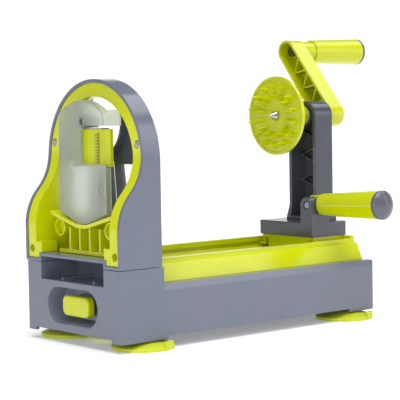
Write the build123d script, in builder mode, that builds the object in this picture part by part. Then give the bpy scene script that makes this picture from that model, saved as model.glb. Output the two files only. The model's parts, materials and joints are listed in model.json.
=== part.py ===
"""Hand-cranked spiralizer: a slicing arch on a long base, with a sliding carriage that turns the workpiece.

All lengths are millimetres and all angles are degrees.
The frame is +Z up, with the origin on the table under the middle of the base.
The arch and its blades stand at the -X end, the crank at the +X end, and -Y is the side of the push handle.
"""

import os
from math import atan2, cos, degrees, hypot, radians, sin

from build123d import *

os.makedirs("parts", exist_ok=True)

# ---------------------------------------------------------------- driving dimensions
# Base housing
base_length = 267.0
base_width = 124.0
base_lift = 7.0             # the housing's lower edge above the table
deck_height = 48.6          # top of the long low part
block_length = 41.0
block_height = 61.5         # top of the front block
base_wall = 2.8
base_corner_radius = 3.0
base_edge_radius = 1.2
shoulder_drop = 4.6         # bevel along the top of the long sides
shoulder_inset = 2.0
pad_relief = 2.5            # how far the lower edge is raised between the corner pads
pad_length_front = 44.0
pad_length_rear = 29.0
pad_width = 12.0

# Storage bay in the front block and the finger recess under it
bay_half_width = 41.3
bay_floor = 48.4
bay_depth = 35.0
bay_roof = 66.0             # the bay runs up into the foot of the arch
bay_wall = 2.4
bay_rail_height = 2.0
recess_width = 69.0
recess_height = 31.0
recess_center_height = 29.6
recess_depth = 13.0
recess_taper = 14.0

# Arch
arch_depth = 39.5
arch_top = 203.3
arch_setback = 23.4         # how far the upper front stands back from the base's front
arch_wall = 2.6
curve_start = 89.0          # height where the front edge starts to sweep back
curve_end = 147.0           # height where it is upright again
seam = 0.4                  # gap between arch and base
arch_post_length = 8.0
arch_post_height = 14.0
sill = 2.5                  # thickness of the arch's floor

# Front trim
trim_gap = 0.2
trim_inset = 0.9            # the trim's face behind the arch's front edge
trim_skin = 2.4
trim_band = 10.7            # width of the visible band
trim_back = 34.0            # where the inner wall of the trim ends, from the front
trim_wall = 1.9
lug_inner = 41.3            # inner side of the two lower blocks
lug_height = 12.6
lug_depth = 15.0
trim_boss_radius = 4.6
trim_boss_length = 8.0
lug_screw_depth = 12.0
trim_screw_inset = 5.1      # screws from the trim's inner edge
trim_screw_height = 154.0
lug_screw_inset = 5.0       # lower screws from the arch's wall
lug_screw_height = 71.4

# Rear frame inside the arch
leg_top = 140.0
leg_foot = 82.0
leg_top_half_width = 4.5
leg_foot_half_width = 10.0
slot_width = 4.5
window_inner_top = 18.0
window_inner_foot = 26.0
window_outer = 46.0
window_corner = 1.0
collar_rib = 1.6
collar_rib_reach = 9.0
frame_screw_inset = 5.4     # screws from the arch's wall
frame_screw_heights = (100.0, 132.0)
frame_thickness = 3.0
frame_recess = 0.6          # the frame's back behind the arch's rear edge
axis_height = 171.0         # spindle axis above the table
passage_radius = 26.5
collar_wall = 2.0

# Blade cartridge
cartridge_half_width = 30.0
cartridge_front = 11.5      # front and back of the cartridge, from the base's front
cartridge_back = 29.0       # back of the tunnel round the workpiece
cartridge_rim = 6.0         # depth of the face plate with its rim
cartridge_shoulder = 101.0  # lower corners
cartridge_keel = 92.5       # middle of the V-shaped lower edge
keel_half_width = 6.0
cartridge_top_radius = 46.0
cartridge_wall = 1.9
window_left = 0.5
window_floor = 138.5
window_top = 168.0
window_radius = 5.0
window_slot = 2.4           # height of the slot over the blade
tab_height = 119.5
tab_radius = 7.0
tab_ridge = 1.2
tunnel_radius = 26.8
tunnel_wall = 1.7
insert_depth = 23.0         # back of the insert, from the base's front
insert_gap = 0.25
insert_ledge = 2.0
ramp_lip = 3.0
ramp_sag = 3.5
coring_stand = 3.0
blade_nose = 0.15
comb_plate = 1.2
comb_inset = 0.6
comb_strip = 3.4
comb_tooth = 4.6
insert_left = 11.0
insert_right = -26.0
slicing_blade_height = 165.6
slicing_blade_reach = 33.0
blade_thickness = 0.8
comb_teeth = 10
comb_pitch = 2.3
comb_offset = -13.0
coring_radius = 3.2
coring_wall = 0.5
coring_sleeve = 1.1

# Seat that carries the cartridge
seat_half_width = 42.0
seat_thickness = 3.0
seat_front = 10.0
seat_back = 32.0
seat_gap = 0.3
seat_boss_radius = 7.0
seat_boss_spread = 33.0
seat_boss_height = 88.5
seat_rib_spread = 13.0
seat_rib = 2.0
seat_rib_inset = 3.0
seat_web = 2.4
seat_foot_half_width = 34.0
seat_boss_recess = 4.0
seat_screw_spread = 13.0
seat_screw_inset = 9.0
shelf_height = 101.5

# Slide tray
tray_foot_half_width = 50.6
tray_shoulder_half_width = 44.6
tray_shoulder_height = 61.8
tray_rim_half_width = 41.0
tray_rim_height = 65.6
tray_inner_half_width = 36.2
tray_floor = 57.4
tray_floor_thickness = 2.5
tray_groove_depth = 2.0
tray_groove_low = 58.6
tray_groove_high = 61.6
tray_end_gap = 2.5          # tray's rear end to the base's rear end
tray_stop_height = 68.0
tray_stop_thickness = 3.5
tray_boss_radius = 4.0
tray_screw_inset = 20.0
tray_screw_spread = 26.0

# Carriage
carriage_front = 222.9      # from the base's front
carriage_length = 41.0
carriage_half_width = 32.8
carriage_bottom = 68.4
carriage_thickness = 12.0
carriage_fillet = 1.6
runner_box_half_width = 25.0
runner_half_width = 32.0
runner_lip = 3.0
runner_inset = 3.2
runner_screw_inset = 7.0
runner_screw_spread = 17.0
runner_screw_depth = 6.0
runner_screw_bite = 6.0
slide_clearance = 0.2
ear_thickness = 8.2
rear_ear_thickness = 3.0
handle_pivot_side = 26.0    # push handle's pivot, beside the middle plane
handle_pivot_height = 95.5

# Column
column_front = 244.0
column_depth = 21.0
column_half_width = 16.5
column_top = 182.6
column_top_radius = 12.0
column_wall = 3.2
column_recess = 17.0
column_foot_flare = 4.0
column_foot_height = 13.0
column_rib_height = 5.0
column_rib_pitch = 21.3
column_rib = 1.6
column_edge_radius = 1.6
column_boss_radius = 10.0
column_screw_spread = 9.0

# Spindle
shaft_radius = 4.0
running_fit = 0.05
bush_radius = 6.5
bush_flange_radius = 8.0
bush_flange = 1.6
bush_length = 7.0
shaft_nose = 2.0
spike_tip = 0.6
crank_screw_seat = 2.0
crank_screw_depth = 10.0
disc_station = 216.8        # back of the spiked disc, from the base's front
disc_radius = 33.2
disc_plate = 2.6
disc_rim_height = 3.6
disc_rim_wall = 2.2
disc_hub_radius = 9.0
spike_length = 9.0
spikes_in_ring = 14
outer_spike_circle = 24.6
inner_spike_circle = 16.6
spike_width = 5.0
spike_thickness = 3.4
nose_length = 6.0

# Crank
crank_gap = 3.6             # column to crank arm
crank_arm_depth = 17.0
crank_radius = 72.0
crank_angle = 51.0          # rise of the arm above the +Y direction
crank_hub_radius = 10.4
crank_tip_radius = 9.8
crank_wall = 2.0
crank_web = 2.5
crank_rib = 1.6
crank_rib_drop = 5.0
crank_zigzags = 6
tip_boss_length = 8.0
axle_head_length = 2.0
axle_end_gap = 1.0
axle_head_rim = 1.2
grip_start = 298.0          # from the base's front
grip_length = 63.0
grip_root_radius = 10.3
grip_end_radius = 11.7
grip_cap_length = 6.0
cap_collar = 2.5
grip_axle_radius = 3.5

# Push handle
push_root = 33.4            # from the middle plane to the cone's root
push_end = 108.0
push_root_radius = 9.3
push_end_radius = 11.9
push_rise = 2.0             # the handle's upward tilt at rest, in degrees
push_cap_length = 8.0
tang_radius = 8.0
tang_clearance = 0.25
tang_thickness = 9.0
pivot_radius = 1.5

# Suction feet and the centre pad with its pull
foot_radius = 24.0
foot_rim = 2.6
foot_neck_radius = 6.0
foot_button_radius = 8.5
foot_inset = 15.0           # feet from the base's long sides
front_foot_station = 31.5
rear_foot_station = 245.5
cover_thickness = 2.5
cover_gap = 0.3
cover_rib_height = 4.0
foot_tab_thickness = 2.4
foot_tab_width = 9.0
foot_tab_height = 5.5
pad_radius = 20.0
pad_clear = 3.6             # pad above the table when the pull is pushed in
pull_travel = 10.0
pad_travel = 3.0
pull_width = 34.0
pull_height = 15.8
pull_thickness = 6.0
pull_front = 2.5
pull_corner = 5.0
pull_edge = 1.6
tail_past_stem = 14.0
pin_rise = 1.0
stem_radius = 5.0
stem_station = 38.0
cheek_thickness = 2.6
pin_radius = 1.6

# Screws
screw_head_radius = 3.0
screw_shank_radius = 1.5
screw_head_height = 2.2
head_gap = 0.15
trim_screw_length = 8.0
lug_screw_length = 8.0
deck_screw_length = 8.0
cover_screw_bite = 8.0      # how far the cover's screws reach into their posts
cover_screw_stations = (-45.0, 60.0)
arch_screw_length = 10.0
frame_screw_length = 6.0

# ---------------------------------------------------------------- places worked out from them
front = -base_length / 2
rear = base_length / 2
half_width = base_width / 2
foot_spread = half_width - foot_inset
crown_height = arch_top - half_width    # centre of the arch's round top
block_back = front + block_length
arch_back = front + arch_depth
arch_foot = block_height + seam
arch_inner = half_width - arch_wall
cover_bottom = base_lift + pad_relief
cover_top = cover_bottom + cover_thickness
trim_outer = arch_inner - trim_gap
trim_inner = half_width - arch_wall - trim_band
trim_screw_spread = trim_inner + trim_screw_inset
lug_screw_spread = arch_inner - lug_screw_inset
frame_screw_spread = arch_inner - frame_screw_inset
frame_back = arch_back - frame_recess
frame_front = frame_back - frame_thickness
carriage_x = front + carriage_front
carriage_back = carriage_x + carriage_length
carriage_top = carriage_bottom + carriage_thickness
column_x = front + column_front
column_back = column_x + column_depth
disc_back = front + disc_station
collar_front = front + cartridge_back + seat_gap
crank_x = column_back + crank_gap
crank_back = crank_x + crank_arm_depth
grip_x = front + grip_start
tip_y = crank_radius * cos(radians(crank_angle))
tip_z = axis_height + crank_radius * sin(radians(crank_angle))
tray_front = block_back + trim_gap
arch_post_inner = trim_inner + trim_wall + 2 * trim_gap
arch_screw_spread = (arch_post_inner + arch_inner) / 2
arch_post_stations = (
    front + trim_inset + lug_depth + trim_gap + arch_post_length / 2,
    frame_front - trim_gap - arch_post_length / 2,
)
arch_screw_places = [(x, side * arch_screw_spread) for x in arch_post_stations for side in (-1, 1)]
frame_screw_places = [(side * frame_screw_spread, z) for z in frame_screw_heights for side in (-1, 1)]
tray_back = rear - tray_end_gap
tray_screw_places = [
    (x, side * tray_screw_spread)
    for x in (tray_front + tray_screw_inset, tray_back - tray_screw_inset)
    for side in (-1, 1)
]
stem_x = front + stem_station
ear_radius = carriage_half_width - handle_pivot_side
ear_inner = ear_radius - handle_pivot_side
handle_shelf_height = handle_pivot_height - tang_radius - tang_clearance
runner_screw_places = [
    (x, side * runner_screw_spread)
    for x in (carriage_x + runner_inset + runner_screw_inset, carriage_back - runner_inset - runner_screw_inset)
    for side in (-1, 1)
]


# ---------------------------------------------------------------- shared shapes
def arch_face(half: float, foot: float) -> Sketch:
    """Front view of the arch: upright sides on a foot line, closed by a half circle."""
    with BuildSketch() as face:
        with BuildLine():
            Line((-half, crown_height), (-half, foot))
            Line((-half, foot), (half, foot))
            Line((half, foot), (half, crown_height))
            RadiusArc((half, crown_height), (-half, crown_height), -half)
        make_face()
    return face.sketch


def sweep_back_slab(near: float, far: float) -> Sketch:
    """Side view of the space behind the arch's S-shaped front edge, moved back by near and ended at far."""
    start_x = front + near
    upper_x = front + near + arch_setback
    middle = ((start_x + upper_x) / 2, (curve_start + curve_end) / 2)
    with BuildSketch() as slab:
        with BuildLine():
            Line((start_x, 0), (start_x, curve_start))
            lower_arc = TangentArc((start_x, curve_start), middle, tangent=(0, 1))
            TangentArc(middle, (upper_x, curve_end), tangent=lower_arc % 1)
            Line((upper_x, curve_end), (upper_x, crown_height + base_width))
            Line((upper_x, crown_height + base_width), (far, crown_height + base_width))
            Line((far, crown_height + base_width), (far, 0))
            Line((far, 0), (start_x, 0))
        make_face()
    return slab.sketch


def follow_slab(depth: float) -> Sketch:
    """Side view of a skin of one depth that follows the trim's S-shaped face."""
    near = trim_inset
    start_x = front + near
    upper_x = start_x + arch_setback
    middle = ((start_x + upper_x) / 2, (curve_start + curve_end) / 2)
    top = crown_height + base_width
    with BuildSketch() as slab:
        with BuildLine():
            Line((start_x, 0), (start_x, curve_start))
            first = TangentArc((start_x, curve_start), middle, tangent=(0, 1))
            TangentArc(middle, (upper_x, curve_end), tangent=first % 1)
            Line((upper_x, curve_end), (upper_x, top))
            Line((upper_x, top), (upper_x + depth, top))
            Line((upper_x + depth, top), (upper_x + depth, curve_end))
            back_middle = (middle[0] + depth, middle[1])
            third = TangentArc((upper_x + depth, curve_end), back_middle, tangent=(0, -1))
            TangentArc(back_middle, (start_x + depth, curve_start), tangent=third % 1)
            Line((start_x + depth, curve_start), (start_x + depth, 0))
            Line((start_x + depth, 0), (start_x, 0))
        make_face()
    return slab.sketch


def cartridge_face(inset: float) -> Sketch:
    """Front view of the cartridge: V-shaped foot, upright sides and a domed top."""
    half = cartridge_half_width - inset
    radius = cartridge_top_radius - inset
    shoulder = crown_height + (radius**2 - half**2) ** 0.5
    with BuildSketch() as face:
        with BuildLine():
            Polyline(
                (half, shoulder),
                (half, cartridge_shoulder + inset),
                (keel_half_width, cartridge_keel + inset),
                (-keel_half_width, cartridge_keel + inset),
                (-half, cartridge_shoulder + inset),
                (-half, shoulder),
            )
            RadiusArc((half, shoulder), (-half, shoulder), -radius)
        make_face()
    return face.sketch


def screw(length: float) -> Part:
    """Cross-recess screw along Z, its flat head's top at the origin and its shank pointing down."""
    with BuildPart() as body:
        Cylinder(screw_head_radius, screw_head_height, align=(Align.CENTER, Align.CENTER, Align.MAX))
        fillet(body.edges().group_by(Axis.Z)[-1], screw_head_height / 4)
        with Locations((0, 0, -screw_head_height)):
            Cylinder(screw_shank_radius, length, align=(Align.CENTER, Align.CENTER, Align.MAX))
        with BuildSketch():
            Rectangle(screw_head_radius * 1.1, screw_shank_radius / 2)
            Rectangle(screw_shank_radius / 2, screw_head_radius * 1.1)
        extrude(amount=-screw_head_height / 2, mode=Mode.SUBTRACT)
    return body.part


def facing_front(x: float, y: float, z: float) -> Plane:
    """Plane at a point, looking out of the base's front."""
    return Plane(origin=(x, y, z), x_dir=(0, -1, 0), z_dir=(-1, 0, 0))


def save(builder: BuildPart, name: str) -> None:
    """Label a finished piece and write it as one STEP file."""
    builder.part.label = name
    export_step(builder.part, f"parts/{name}.step")


# ---------------------------------------------------------------- base housing
side_wall_top = deck_height - shoulder_drop
with BuildPart() as base_housing:
    with BuildSketch(Plane.XY.offset(base_lift)):
        RectangleRounded(base_length, base_width, base_corner_radius)
    extrude(amount=deck_height - base_lift)
    fillet(base_housing.edges().group_by(Axis.Z)[-1], base_edge_radius)
    with BuildSketch(Plane.YZ.offset(front)):
        for side in (-1, 1):
            with BuildLine():
                Polyline(
                    (side * (half_width + shoulder_inset), deck_height),
                    (side * (half_width - shoulder_inset), deck_height),
                    (side * half_width, side_wall_top),
                    (side * (half_width + shoulder_inset), side_wall_top),
                    close=True,
                )
            make_face()
    extrude(amount=base_length, mode=Mode.SUBTRACT)
    with BuildSketch(Plane.XY.offset(base_lift)) as block_plan:
        with Locations((front + block_length / 2, 0)):
            Rectangle(block_length, base_width)
        fillet(block_plan.vertices().group_by(Axis.X)[0], base_corner_radius)
    extrude(amount=block_height - base_lift)

    # Hollow from below: the low part and the front block
    with BuildSketch(Plane.XY.offset(base_lift)):
        RectangleRounded(base_length - 2 * base_wall, base_width - 2 * base_wall, base_corner_radius / 2)
    extrude(amount=side_wall_top - base_lift, mode=Mode.SUBTRACT)
    with BuildSketch(Plane.XY.offset(side_wall_top)):
        with Locations((front + block_length / 2, 0)):
            Rectangle(block_length - 2 * base_wall, base_width - 2 * base_wall)
    extrude(amount=block_height - base_wall - side_wall_top, mode=Mode.SUBTRACT)

    # Storage bay, open to the front and to the foot of the arch, with two low rails for spare cartridges
    with BuildSketch(Plane.XY.offset(bay_floor - bay_wall)):
        with Locations((front + (bay_depth + bay_wall) / 2, 0)):
            Rectangle(bay_depth + bay_wall, 2 * (bay_half_width + bay_wall))
    extrude(amount=block_height - bay_floor + bay_wall)
    with BuildSketch(Plane.XY.offset(bay_floor)):
        with Locations((front + bay_depth / 2, 0)):
            Rectangle(bay_depth, 2 * bay_half_width)
    extrude(amount=block_height - bay_floor, mode=Mode.SUBTRACT)
    with BuildSketch(Plane.XY.offset(bay_floor)):
        for side in (-1, 1):
            with Locations((front + bay_depth / 2 + base_wall, side * bay_half_width / 2)):
                Rectangle(bay_depth - 2 * base_wall, base_wall)
    extrude(amount=bay_rail_height)

    # Dished finger recess with a slot for the pull's tail
    with BuildSketch(Plane.YZ.offset(front)):
        with Locations((0, recess_center_height)):
            SlotOverall(recess_width, recess_height)
    extrude(amount=recess_depth + base_wall)
    with BuildSketch(Plane.YZ.offset(front)):
        with Locations((0, recess_center_height)):
            SlotOverall(recess_width - base_wall, recess_height - base_wall)
    extrude(amount=recess_depth, taper=recess_taper, mode=Mode.SUBTRACT)
    tail_half_width = stem_radius + cheek_thickness + 3 * slide_clearance
    with BuildSketch(Plane.YZ.offset(front + recess_depth / 2)):
        with Locations((0, recess_center_height)):
            Rectangle(2 * tail_half_width, pull_height - pull_thickness + 2 * slide_clearance)
    extrude(amount=recess_depth, mode=Mode.SUBTRACT)

    # Lower edge raised between the corner pads
    with BuildSketch(Plane.XY.offset(base_lift)):
        with Locations(((pad_length_front - pad_length_rear) / 2, 0)):
            Rectangle(base_length - pad_length_front - pad_length_rear, base_width)
        Rectangle(base_length, base_width - 2 * pad_width)
    extrude(amount=pad_relief, mode=Mode.SUBTRACT)

    # Posts over the cover: four for the feet, and screw posts along the middle
    cup_stations = [front + front_foot_station, front + rear_foot_station]
    cover_screw_places = [(x, y) for x in cover_screw_stations for y in (-foot_spread, foot_spread)]
    with BuildSketch(Plane.XY.offset(cover_top)):
        with Locations(*cover_screw_places):
            Circle(screw_head_radius + 1.2)
    extrude(until=Until.NEXT)
    with Locations(*[(x, y, cover_top) for x, y in cover_screw_places]):
        Hole(screw_shank_radius, depth=2 * cover_screw_bite)
    # Screw holes up into the tray and the arch
    with Locations(*[(x, y, deck_height) for x, y in tray_screw_places]):
        Hole(screw_shank_radius + head_gap, depth=2 * shoulder_drop)
    with Locations(*[(x, y, block_height) for x, y in arch_screw_places]):
        Hole(screw_shank_radius + head_gap, depth=2 * base_wall)
save(base_housing, "base_housing")

# ---------------------------------------------------------------- bottom cover
foot_places = [
    (front + station, side * foot_spread)
    for station in (front_foot_station, rear_foot_station)
    for side in (-1, 1)
]
cover_length = base_length - 2 * (base_wall + cover_gap)
cover_width = base_width - 2 * (base_wall + cover_gap)
with BuildPart() as bottom_cover:
    with BuildSketch(Plane.XY.offset(cover_bottom)):
        RectangleRounded(cover_length, cover_width, base_corner_radius / 2)
    extrude(amount=cover_thickness)
    with Locations(*[(x, y, cover_top) for x, y in foot_places]):
        Hole(foot_neck_radius + slide_clearance)
    with Locations(*[(x, y, cover_top) for x, y in cover_screw_places]):
        Hole(screw_shank_radius + head_gap)
    with Locations((stem_x, 0, cover_top)):
        Hole(stem_radius + slide_clearance)
    # Round wells over the feet and stiffening ribs along the hidden side
    with BuildSketch(Plane.XY.offset(cover_top)):
        with Locations(*foot_places):
            Circle(foot_button_radius + 2.5)
            Circle(foot_button_radius + 1.0, mode=Mode.SUBTRACT)
        for side in (-1, 1):
            with Locations((0, side * foot_spread / 2)):
                Rectangle(base_length / 2, 2)
    extrude(amount=cover_rib_height)
save(bottom_cover, "bottom_cover")

# ---------------------------------------------------------------- suction feet
for place, (x, y) in zip(("front_near", "front_far", "rear_near", "rear_far"), foot_places):
    with BuildPart() as foot:
        with BuildSketch(Plane.XZ):
            with BuildLine():
                Polyline(
                    (0, foot_rim),
                    (foot_neck_radius, foot_rim / 2),
                    (foot_radius - foot_rim, 0),
                    (foot_radius, 0),
                    (foot_radius, foot_rim),
                    (foot_radius - foot_rim, foot_rim + 1),
                    (foot_neck_radius + 4, base_lift - slide_clearance),
                    (foot_neck_radius, base_lift - slide_clearance),
                    (foot_neck_radius, cover_top + slide_clearance),
                    (foot_button_radius, cover_top + slide_clearance),
                    (foot_neck_radius, cover_top + foot_rim + 1),
                    (0, cover_top + foot_rim + 1),
                    close=True,
                )
            make_face()
        revolve(axis=Axis.Z)
        # Pull tab at the rim that lets air in under the foot
        tab_turn = 70 if y < 0 else -70
        with BuildSketch(Plane.XY.offset(foot_rim / 2)):
            with Locations(Rotation(0, 0, -tab_turn) * Pos(foot_radius - 1, 0)):
                Rectangle(foot_tab_thickness, foot_tab_width)
        extrude(amount=foot_tab_height)
    foot.part.position = (x, y, 0)
    save(foot, f"foot_{place}")

# ---------------------------------------------------------------- arch housing
with BuildPart() as arch_housing:
    with BuildSketch(Plane.YZ.offset(front)):
        add(arch_face(half_width, arch_foot))
    extrude(amount=arch_depth)
    with BuildSketch(Plane.XZ):
        add(sweep_back_slab(0, arch_back + 1))
    extrude(amount=base_width, both=True, mode=Mode.INTERSECT)
    # Open tube with a floor that steps up over the storage bay
    with BuildSketch(Plane.YZ.offset(front)) as inside:
        add(arch_face(arch_inner, arch_foot + sill))
        with Locations((0, (arch_foot + bay_roof + sill) / 2)):
            Rectangle(2 * (bay_half_width + bay_wall), bay_roof + sill - arch_foot, mode=Mode.SUBTRACT)
    extrude(amount=arch_depth, mode=Mode.SUBTRACT)
    with BuildSketch(Plane.YZ.offset(front)):
        with Locations((0, (arch_foot + bay_roof) / 2)):
            Rectangle(2 * bay_half_width, bay_roof - arch_foot)
    extrude(amount=bay_depth, mode=Mode.SUBTRACT)
    # Bosses between trim and rear frame for the screws that hold both
    with BuildSketch(Plane.YZ.offset(frame_front - trim_boss_length)):
        with Locations(*[(side * trim_screw_spread, trim_screw_height) for side in (-1, 1)], *frame_screw_places):
            Circle(trim_boss_radius)
        # Ribs tie the bosses beside the upright walls to them
        with Locations(*[(side * (frame_screw_spread + arch_inner) / 2, z)
                         for z in frame_screw_heights for side in (-1, 1)]):
            Rectangle(arch_inner - frame_screw_spread + arch_wall, trim_boss_radius)
        add(arch_face(arch_inner + trim_gap, arch_foot), mode=Mode.INTERSECT)
        add(arch_face(arch_post_inner, 0), mode=Mode.SUBTRACT)
    extrude(amount=trim_boss_length)
    with Locations(*[Location((frame_front, y, z), (0, 90, 0)) for y, z in frame_screw_places]):
        Hole(screw_shank_radius, depth=trim_boss_length)
    # Foot posts for the screws from the base and for the trim's lower screws
    post_width = arch_inner - arch_post_inner
    with BuildSketch(Plane.XY.offset(arch_foot)):
        for x in arch_post_stations:
            with Locations(*[(x, side * (arch_post_inner + post_width / 2)) for side in (-1, 1)]):
                Rectangle(arch_post_length, post_width)
    extrude(amount=arch_post_height)
    with Locations(*[Plane(origin=(x, y, arch_foot), z_dir=(0, 0, -1)) for x, y in arch_screw_places]):
        Hole(screw_shank_radius, depth=arch_screw_length - base_wall)
    for side in (-1, 1):
        with Locations(facing_front(arch_post_stations[0] - arch_post_length / 2, side * lug_screw_spread,
                                    lug_screw_height)):
            Hole(screw_shank_radius, depth=arch_post_length - 1)
        with Locations((front + seat_front + seat_screw_inset, side * seat_screw_spread, bay_roof + sill)):
            Hole(screw_shank_radius, depth=sill)
    for side in (-1, 1):
        with Locations(facing_front(frame_front - trim_boss_length, side * trim_screw_spread, trim_screw_height)):
            Hole(screw_shank_radius, depth=trim_boss_length)
save(arch_housing, "arch_housing")

# ---------------------------------------------------------------- rear frame
with BuildPart() as rear_frame:
    with BuildSketch(Plane.YZ.offset(frame_front)) as plate:
        add(arch_face(arch_inner - trim_gap, arch_foot + sill + trim_gap))
        with Locations((0, (arch_foot + bay_roof + sill) / 2 + trim_gap)):
            Rectangle(2 * (bay_half_width + bay_wall + trim_gap), bay_roof + sill - arch_foot,
                      mode=Mode.SUBTRACT)
        with Locations((0, axis_height)):
            Circle(passage_radius, mode=Mode.SUBTRACT)
        # A middle leg that spreads downward between two slots, and a window each side
        for side in (-1, 1):
            with BuildLine():
                Polyline(
                    (side * leg_top_half_width, leg_top),
                    (side * (leg_top_half_width + slot_width), leg_top),
                    (side * (leg_foot_half_width + slot_width), leg_foot),
                    (side * leg_foot_half_width, leg_foot),
                    close=True,
                )
            make_face(mode=Mode.SUBTRACT)
            with BuildLine():
                Polyline(
                    (side * window_inner_top, leg_top - 2),
                    (side * window_outer, leg_top - 2),
                    (side * window_outer, leg_foot),
                    (side * window_inner_foot, leg_foot),
                    close=True,
                )
            make_face(mode=Mode.SUBTRACT)
    extrude(amount=frame_thickness)
    fillet(rear_frame.edges().filter_by(Axis.X).filter_by_position(Axis.Z, leg_foot - 1, leg_top + 1),
           window_corner)
    # Collar around the passage with short ribs out to the arch
    with BuildSketch(Plane.YZ.offset(frame_front)):
        with Locations((0, axis_height)):
            Circle(passage_radius + collar_wall)
            with PolarLocations(passage_radius + collar_wall + collar_rib_reach / 2, 9, start_angle=-20,
                                angular_range=220):
                Rectangle(collar_rib_reach + 1, collar_rib)
            Circle(passage_radius, mode=Mode.SUBTRACT)
        add(arch_face(trim_inner - trim_gap, arch_foot), mode=Mode.INTERSECT)
    extrude(amount=collar_front - frame_front)
    with Locations(*[Location((frame_back, y, z), (0, 90, 0)) for y, z in frame_screw_places]):
        Hole(screw_shank_radius + head_gap, depth=frame_thickness)
save(rear_frame, "rear_frame")

# ---------------------------------------------------------------- front trim
with BuildPart() as arch_trim:
    with BuildSketch(Plane.YZ.offset(front)) as ring:
        add(arch_face(trim_outer, arch_foot + sill + trim_gap))
        add(arch_face(trim_inner, 0), mode=Mode.SUBTRACT)
    extrude(amount=arch_depth)
    with BuildSketch(Plane.XZ):
        add(follow_slab(trim_skin))
    extrude(amount=base_width, both=True, mode=Mode.INTERSECT)
    # Inner wall, as deep as the trim
    with BuildPart(mode=Mode.PRIVATE) as inner_wall:
        with BuildSketch(Plane.YZ.offset(front)):
            add(arch_face(trim_inner + trim_wall, arch_foot + sill + trim_gap))
            add(arch_face(trim_inner, 0), mode=Mode.SUBTRACT)
        extrude(amount=trim_back)
        with BuildSketch(Plane.XZ):
            add(sweep_back_slab(trim_inset, arch_back))
        extrude(amount=base_width, both=True, mode=Mode.INTERSECT)
    add(inner_wall.part)
    # Two lower blocks, each with a deep screw hole
    with BuildSketch(Plane.YZ.offset(front + trim_inset)):
        for side in (-1, 1):
            with Locations((side * (lug_inner + trim_outer) / 2, arch_foot + sill + trim_gap + lug_height / 2)):
                Rectangle(trim_outer - lug_inner, lug_height)
        with Locations((0, (arch_foot + bay_roof + sill) / 2 + trim_gap)):
            Rectangle(2 * (bay_half_width + bay_wall + trim_gap), bay_roof + sill - arch_foot,
                      mode=Mode.SUBTRACT)
    extrude(amount=lug_depth)
    trim_face = front + trim_inset + arch_setback
    with BuildSketch(Plane.YZ.offset(trim_face + trim_skin)):
        with Locations(*[(side * trim_screw_spread, trim_screw_height) for side in (-1, 1)]):
            Circle(trim_boss_radius)
        add(arch_face(trim_outer, arch_foot), mode=Mode.INTERSECT)
    extrude(amount=frame_front - trim_boss_length - trim_face - trim_skin)
    for side in (-1, 1):
        with Locations(facing_front(front + trim_inset, side * lug_screw_spread, lug_screw_height)):
            CounterBoreHole(screw_shank_radius + head_gap, screw_head_radius + head_gap, lug_screw_depth)
        with Locations(facing_front(trim_face, side * trim_screw_spread, trim_screw_height)):
            CounterBoreHole(screw_shank_radius + head_gap, screw_head_radius + head_gap, trim_skin)
save(arch_trim, "arch_trim")

# ---------------------------------------------------------------- blade cartridge
cartridge_x = front + cartridge_front
cartridge_end = front + cartridge_back
insert_face = cartridge_x + cartridge_wall + insert_gap
insert_back = front + insert_depth
insert_floor = window_floor - insert_ledge
insert_top = slicing_blade_height - blade_thickness / 2 - insert_gap / 2
with BuildPart() as cartridge_frame:
    with BuildSketch(Plane.YZ.offset(cartridge_x)):
        add(cartridge_face(0))
    extrude(amount=cartridge_rim)
    fillet(cartridge_frame.faces().sort_by(Axis.X)[0].edges(), cartridge_wall / 2)
    with BuildSketch(Plane.YZ.offset(cartridge_x + cartridge_wall)):
        add(cartridge_face(cartridge_wall))
    extrude(amount=cartridge_rim, mode=Mode.SUBTRACT)
    # Half-round finger ridge at the -Y edge
    with BuildSketch(Plane.YZ.offset(cartridge_x + cartridge_wall)):
        with Locations((-cartridge_half_width + cartridge_wall, tab_height)):
            Circle(tab_radius)
            Circle(tab_radius - tab_ridge, mode=Mode.SUBTRACT)
        add(cartridge_face(cartridge_wall), mode=Mode.INTERSECT)
    extrude(amount=-cartridge_wall - tab_ridge)
    # Tunnel round the workpiece, cut away where the insert and the blade stand
    with BuildSketch(Plane.YZ.offset(cartridge_x + cartridge_wall / 2)):
        with Locations((0, axis_height)):
            Circle(tunnel_radius + tunnel_wall)
            Circle(tunnel_radius, mode=Mode.SUBTRACT)
        add(cartridge_face(0), mode=Mode.INTERSECT)
    extrude(amount=cartridge_end - cartridge_x - cartridge_wall / 2)
    with BuildSketch(Plane.YZ.offset(cartridge_x + cartridge_wall)):
        with Locations((insert_left + insert_gap, insert_floor - insert_gap)):
            Rectangle(3 * cartridge_half_width, slicing_blade_height + window_slot - insert_floor,
                      align=(Align.MAX, Align.MIN))
    extrude(amount=cartridge_end - cartridge_x, mode=Mode.SUBTRACT)
    # Window, open to the -Y side, with the slot over the blade
    with BuildSketch(Plane.YZ.offset(cartridge_x - 1)) as window:
        with BuildLine():
            Polyline(
                (window_left, window_top),
                (window_left, window_floor),
                (-2 * cartridge_half_width, window_floor),
                (-2 * cartridge_half_width, window_top),
                close=True,
            )
        make_face()
        fillet(window.vertices().group_by(Axis.X)[-1], window_radius)
    extrude(amount=cartridge_rim + 2, mode=Mode.SUBTRACT)
    # Sleeve for the coring ring
    with BuildSketch(Plane.YZ.offset(cartridge_x + cartridge_wall / 2)):
        with Locations((0, axis_height)):
            Circle(coring_radius + coring_wall + coring_sleeve)
            Circle(coring_radius + coring_wall + slide_clearance / 2, mode=Mode.SUBTRACT)
    extrude(amount=cartridge_end - cartridge_x - coring_stand)
    with Locations((cartridge_x, 0, axis_height)):
        Cylinder(coring_radius - coring_wall, 4 * cartridge_wall, rotation=(0, 90, 0), mode=Mode.SUBTRACT)
save(cartridge_frame, "cartridge_frame")

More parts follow.
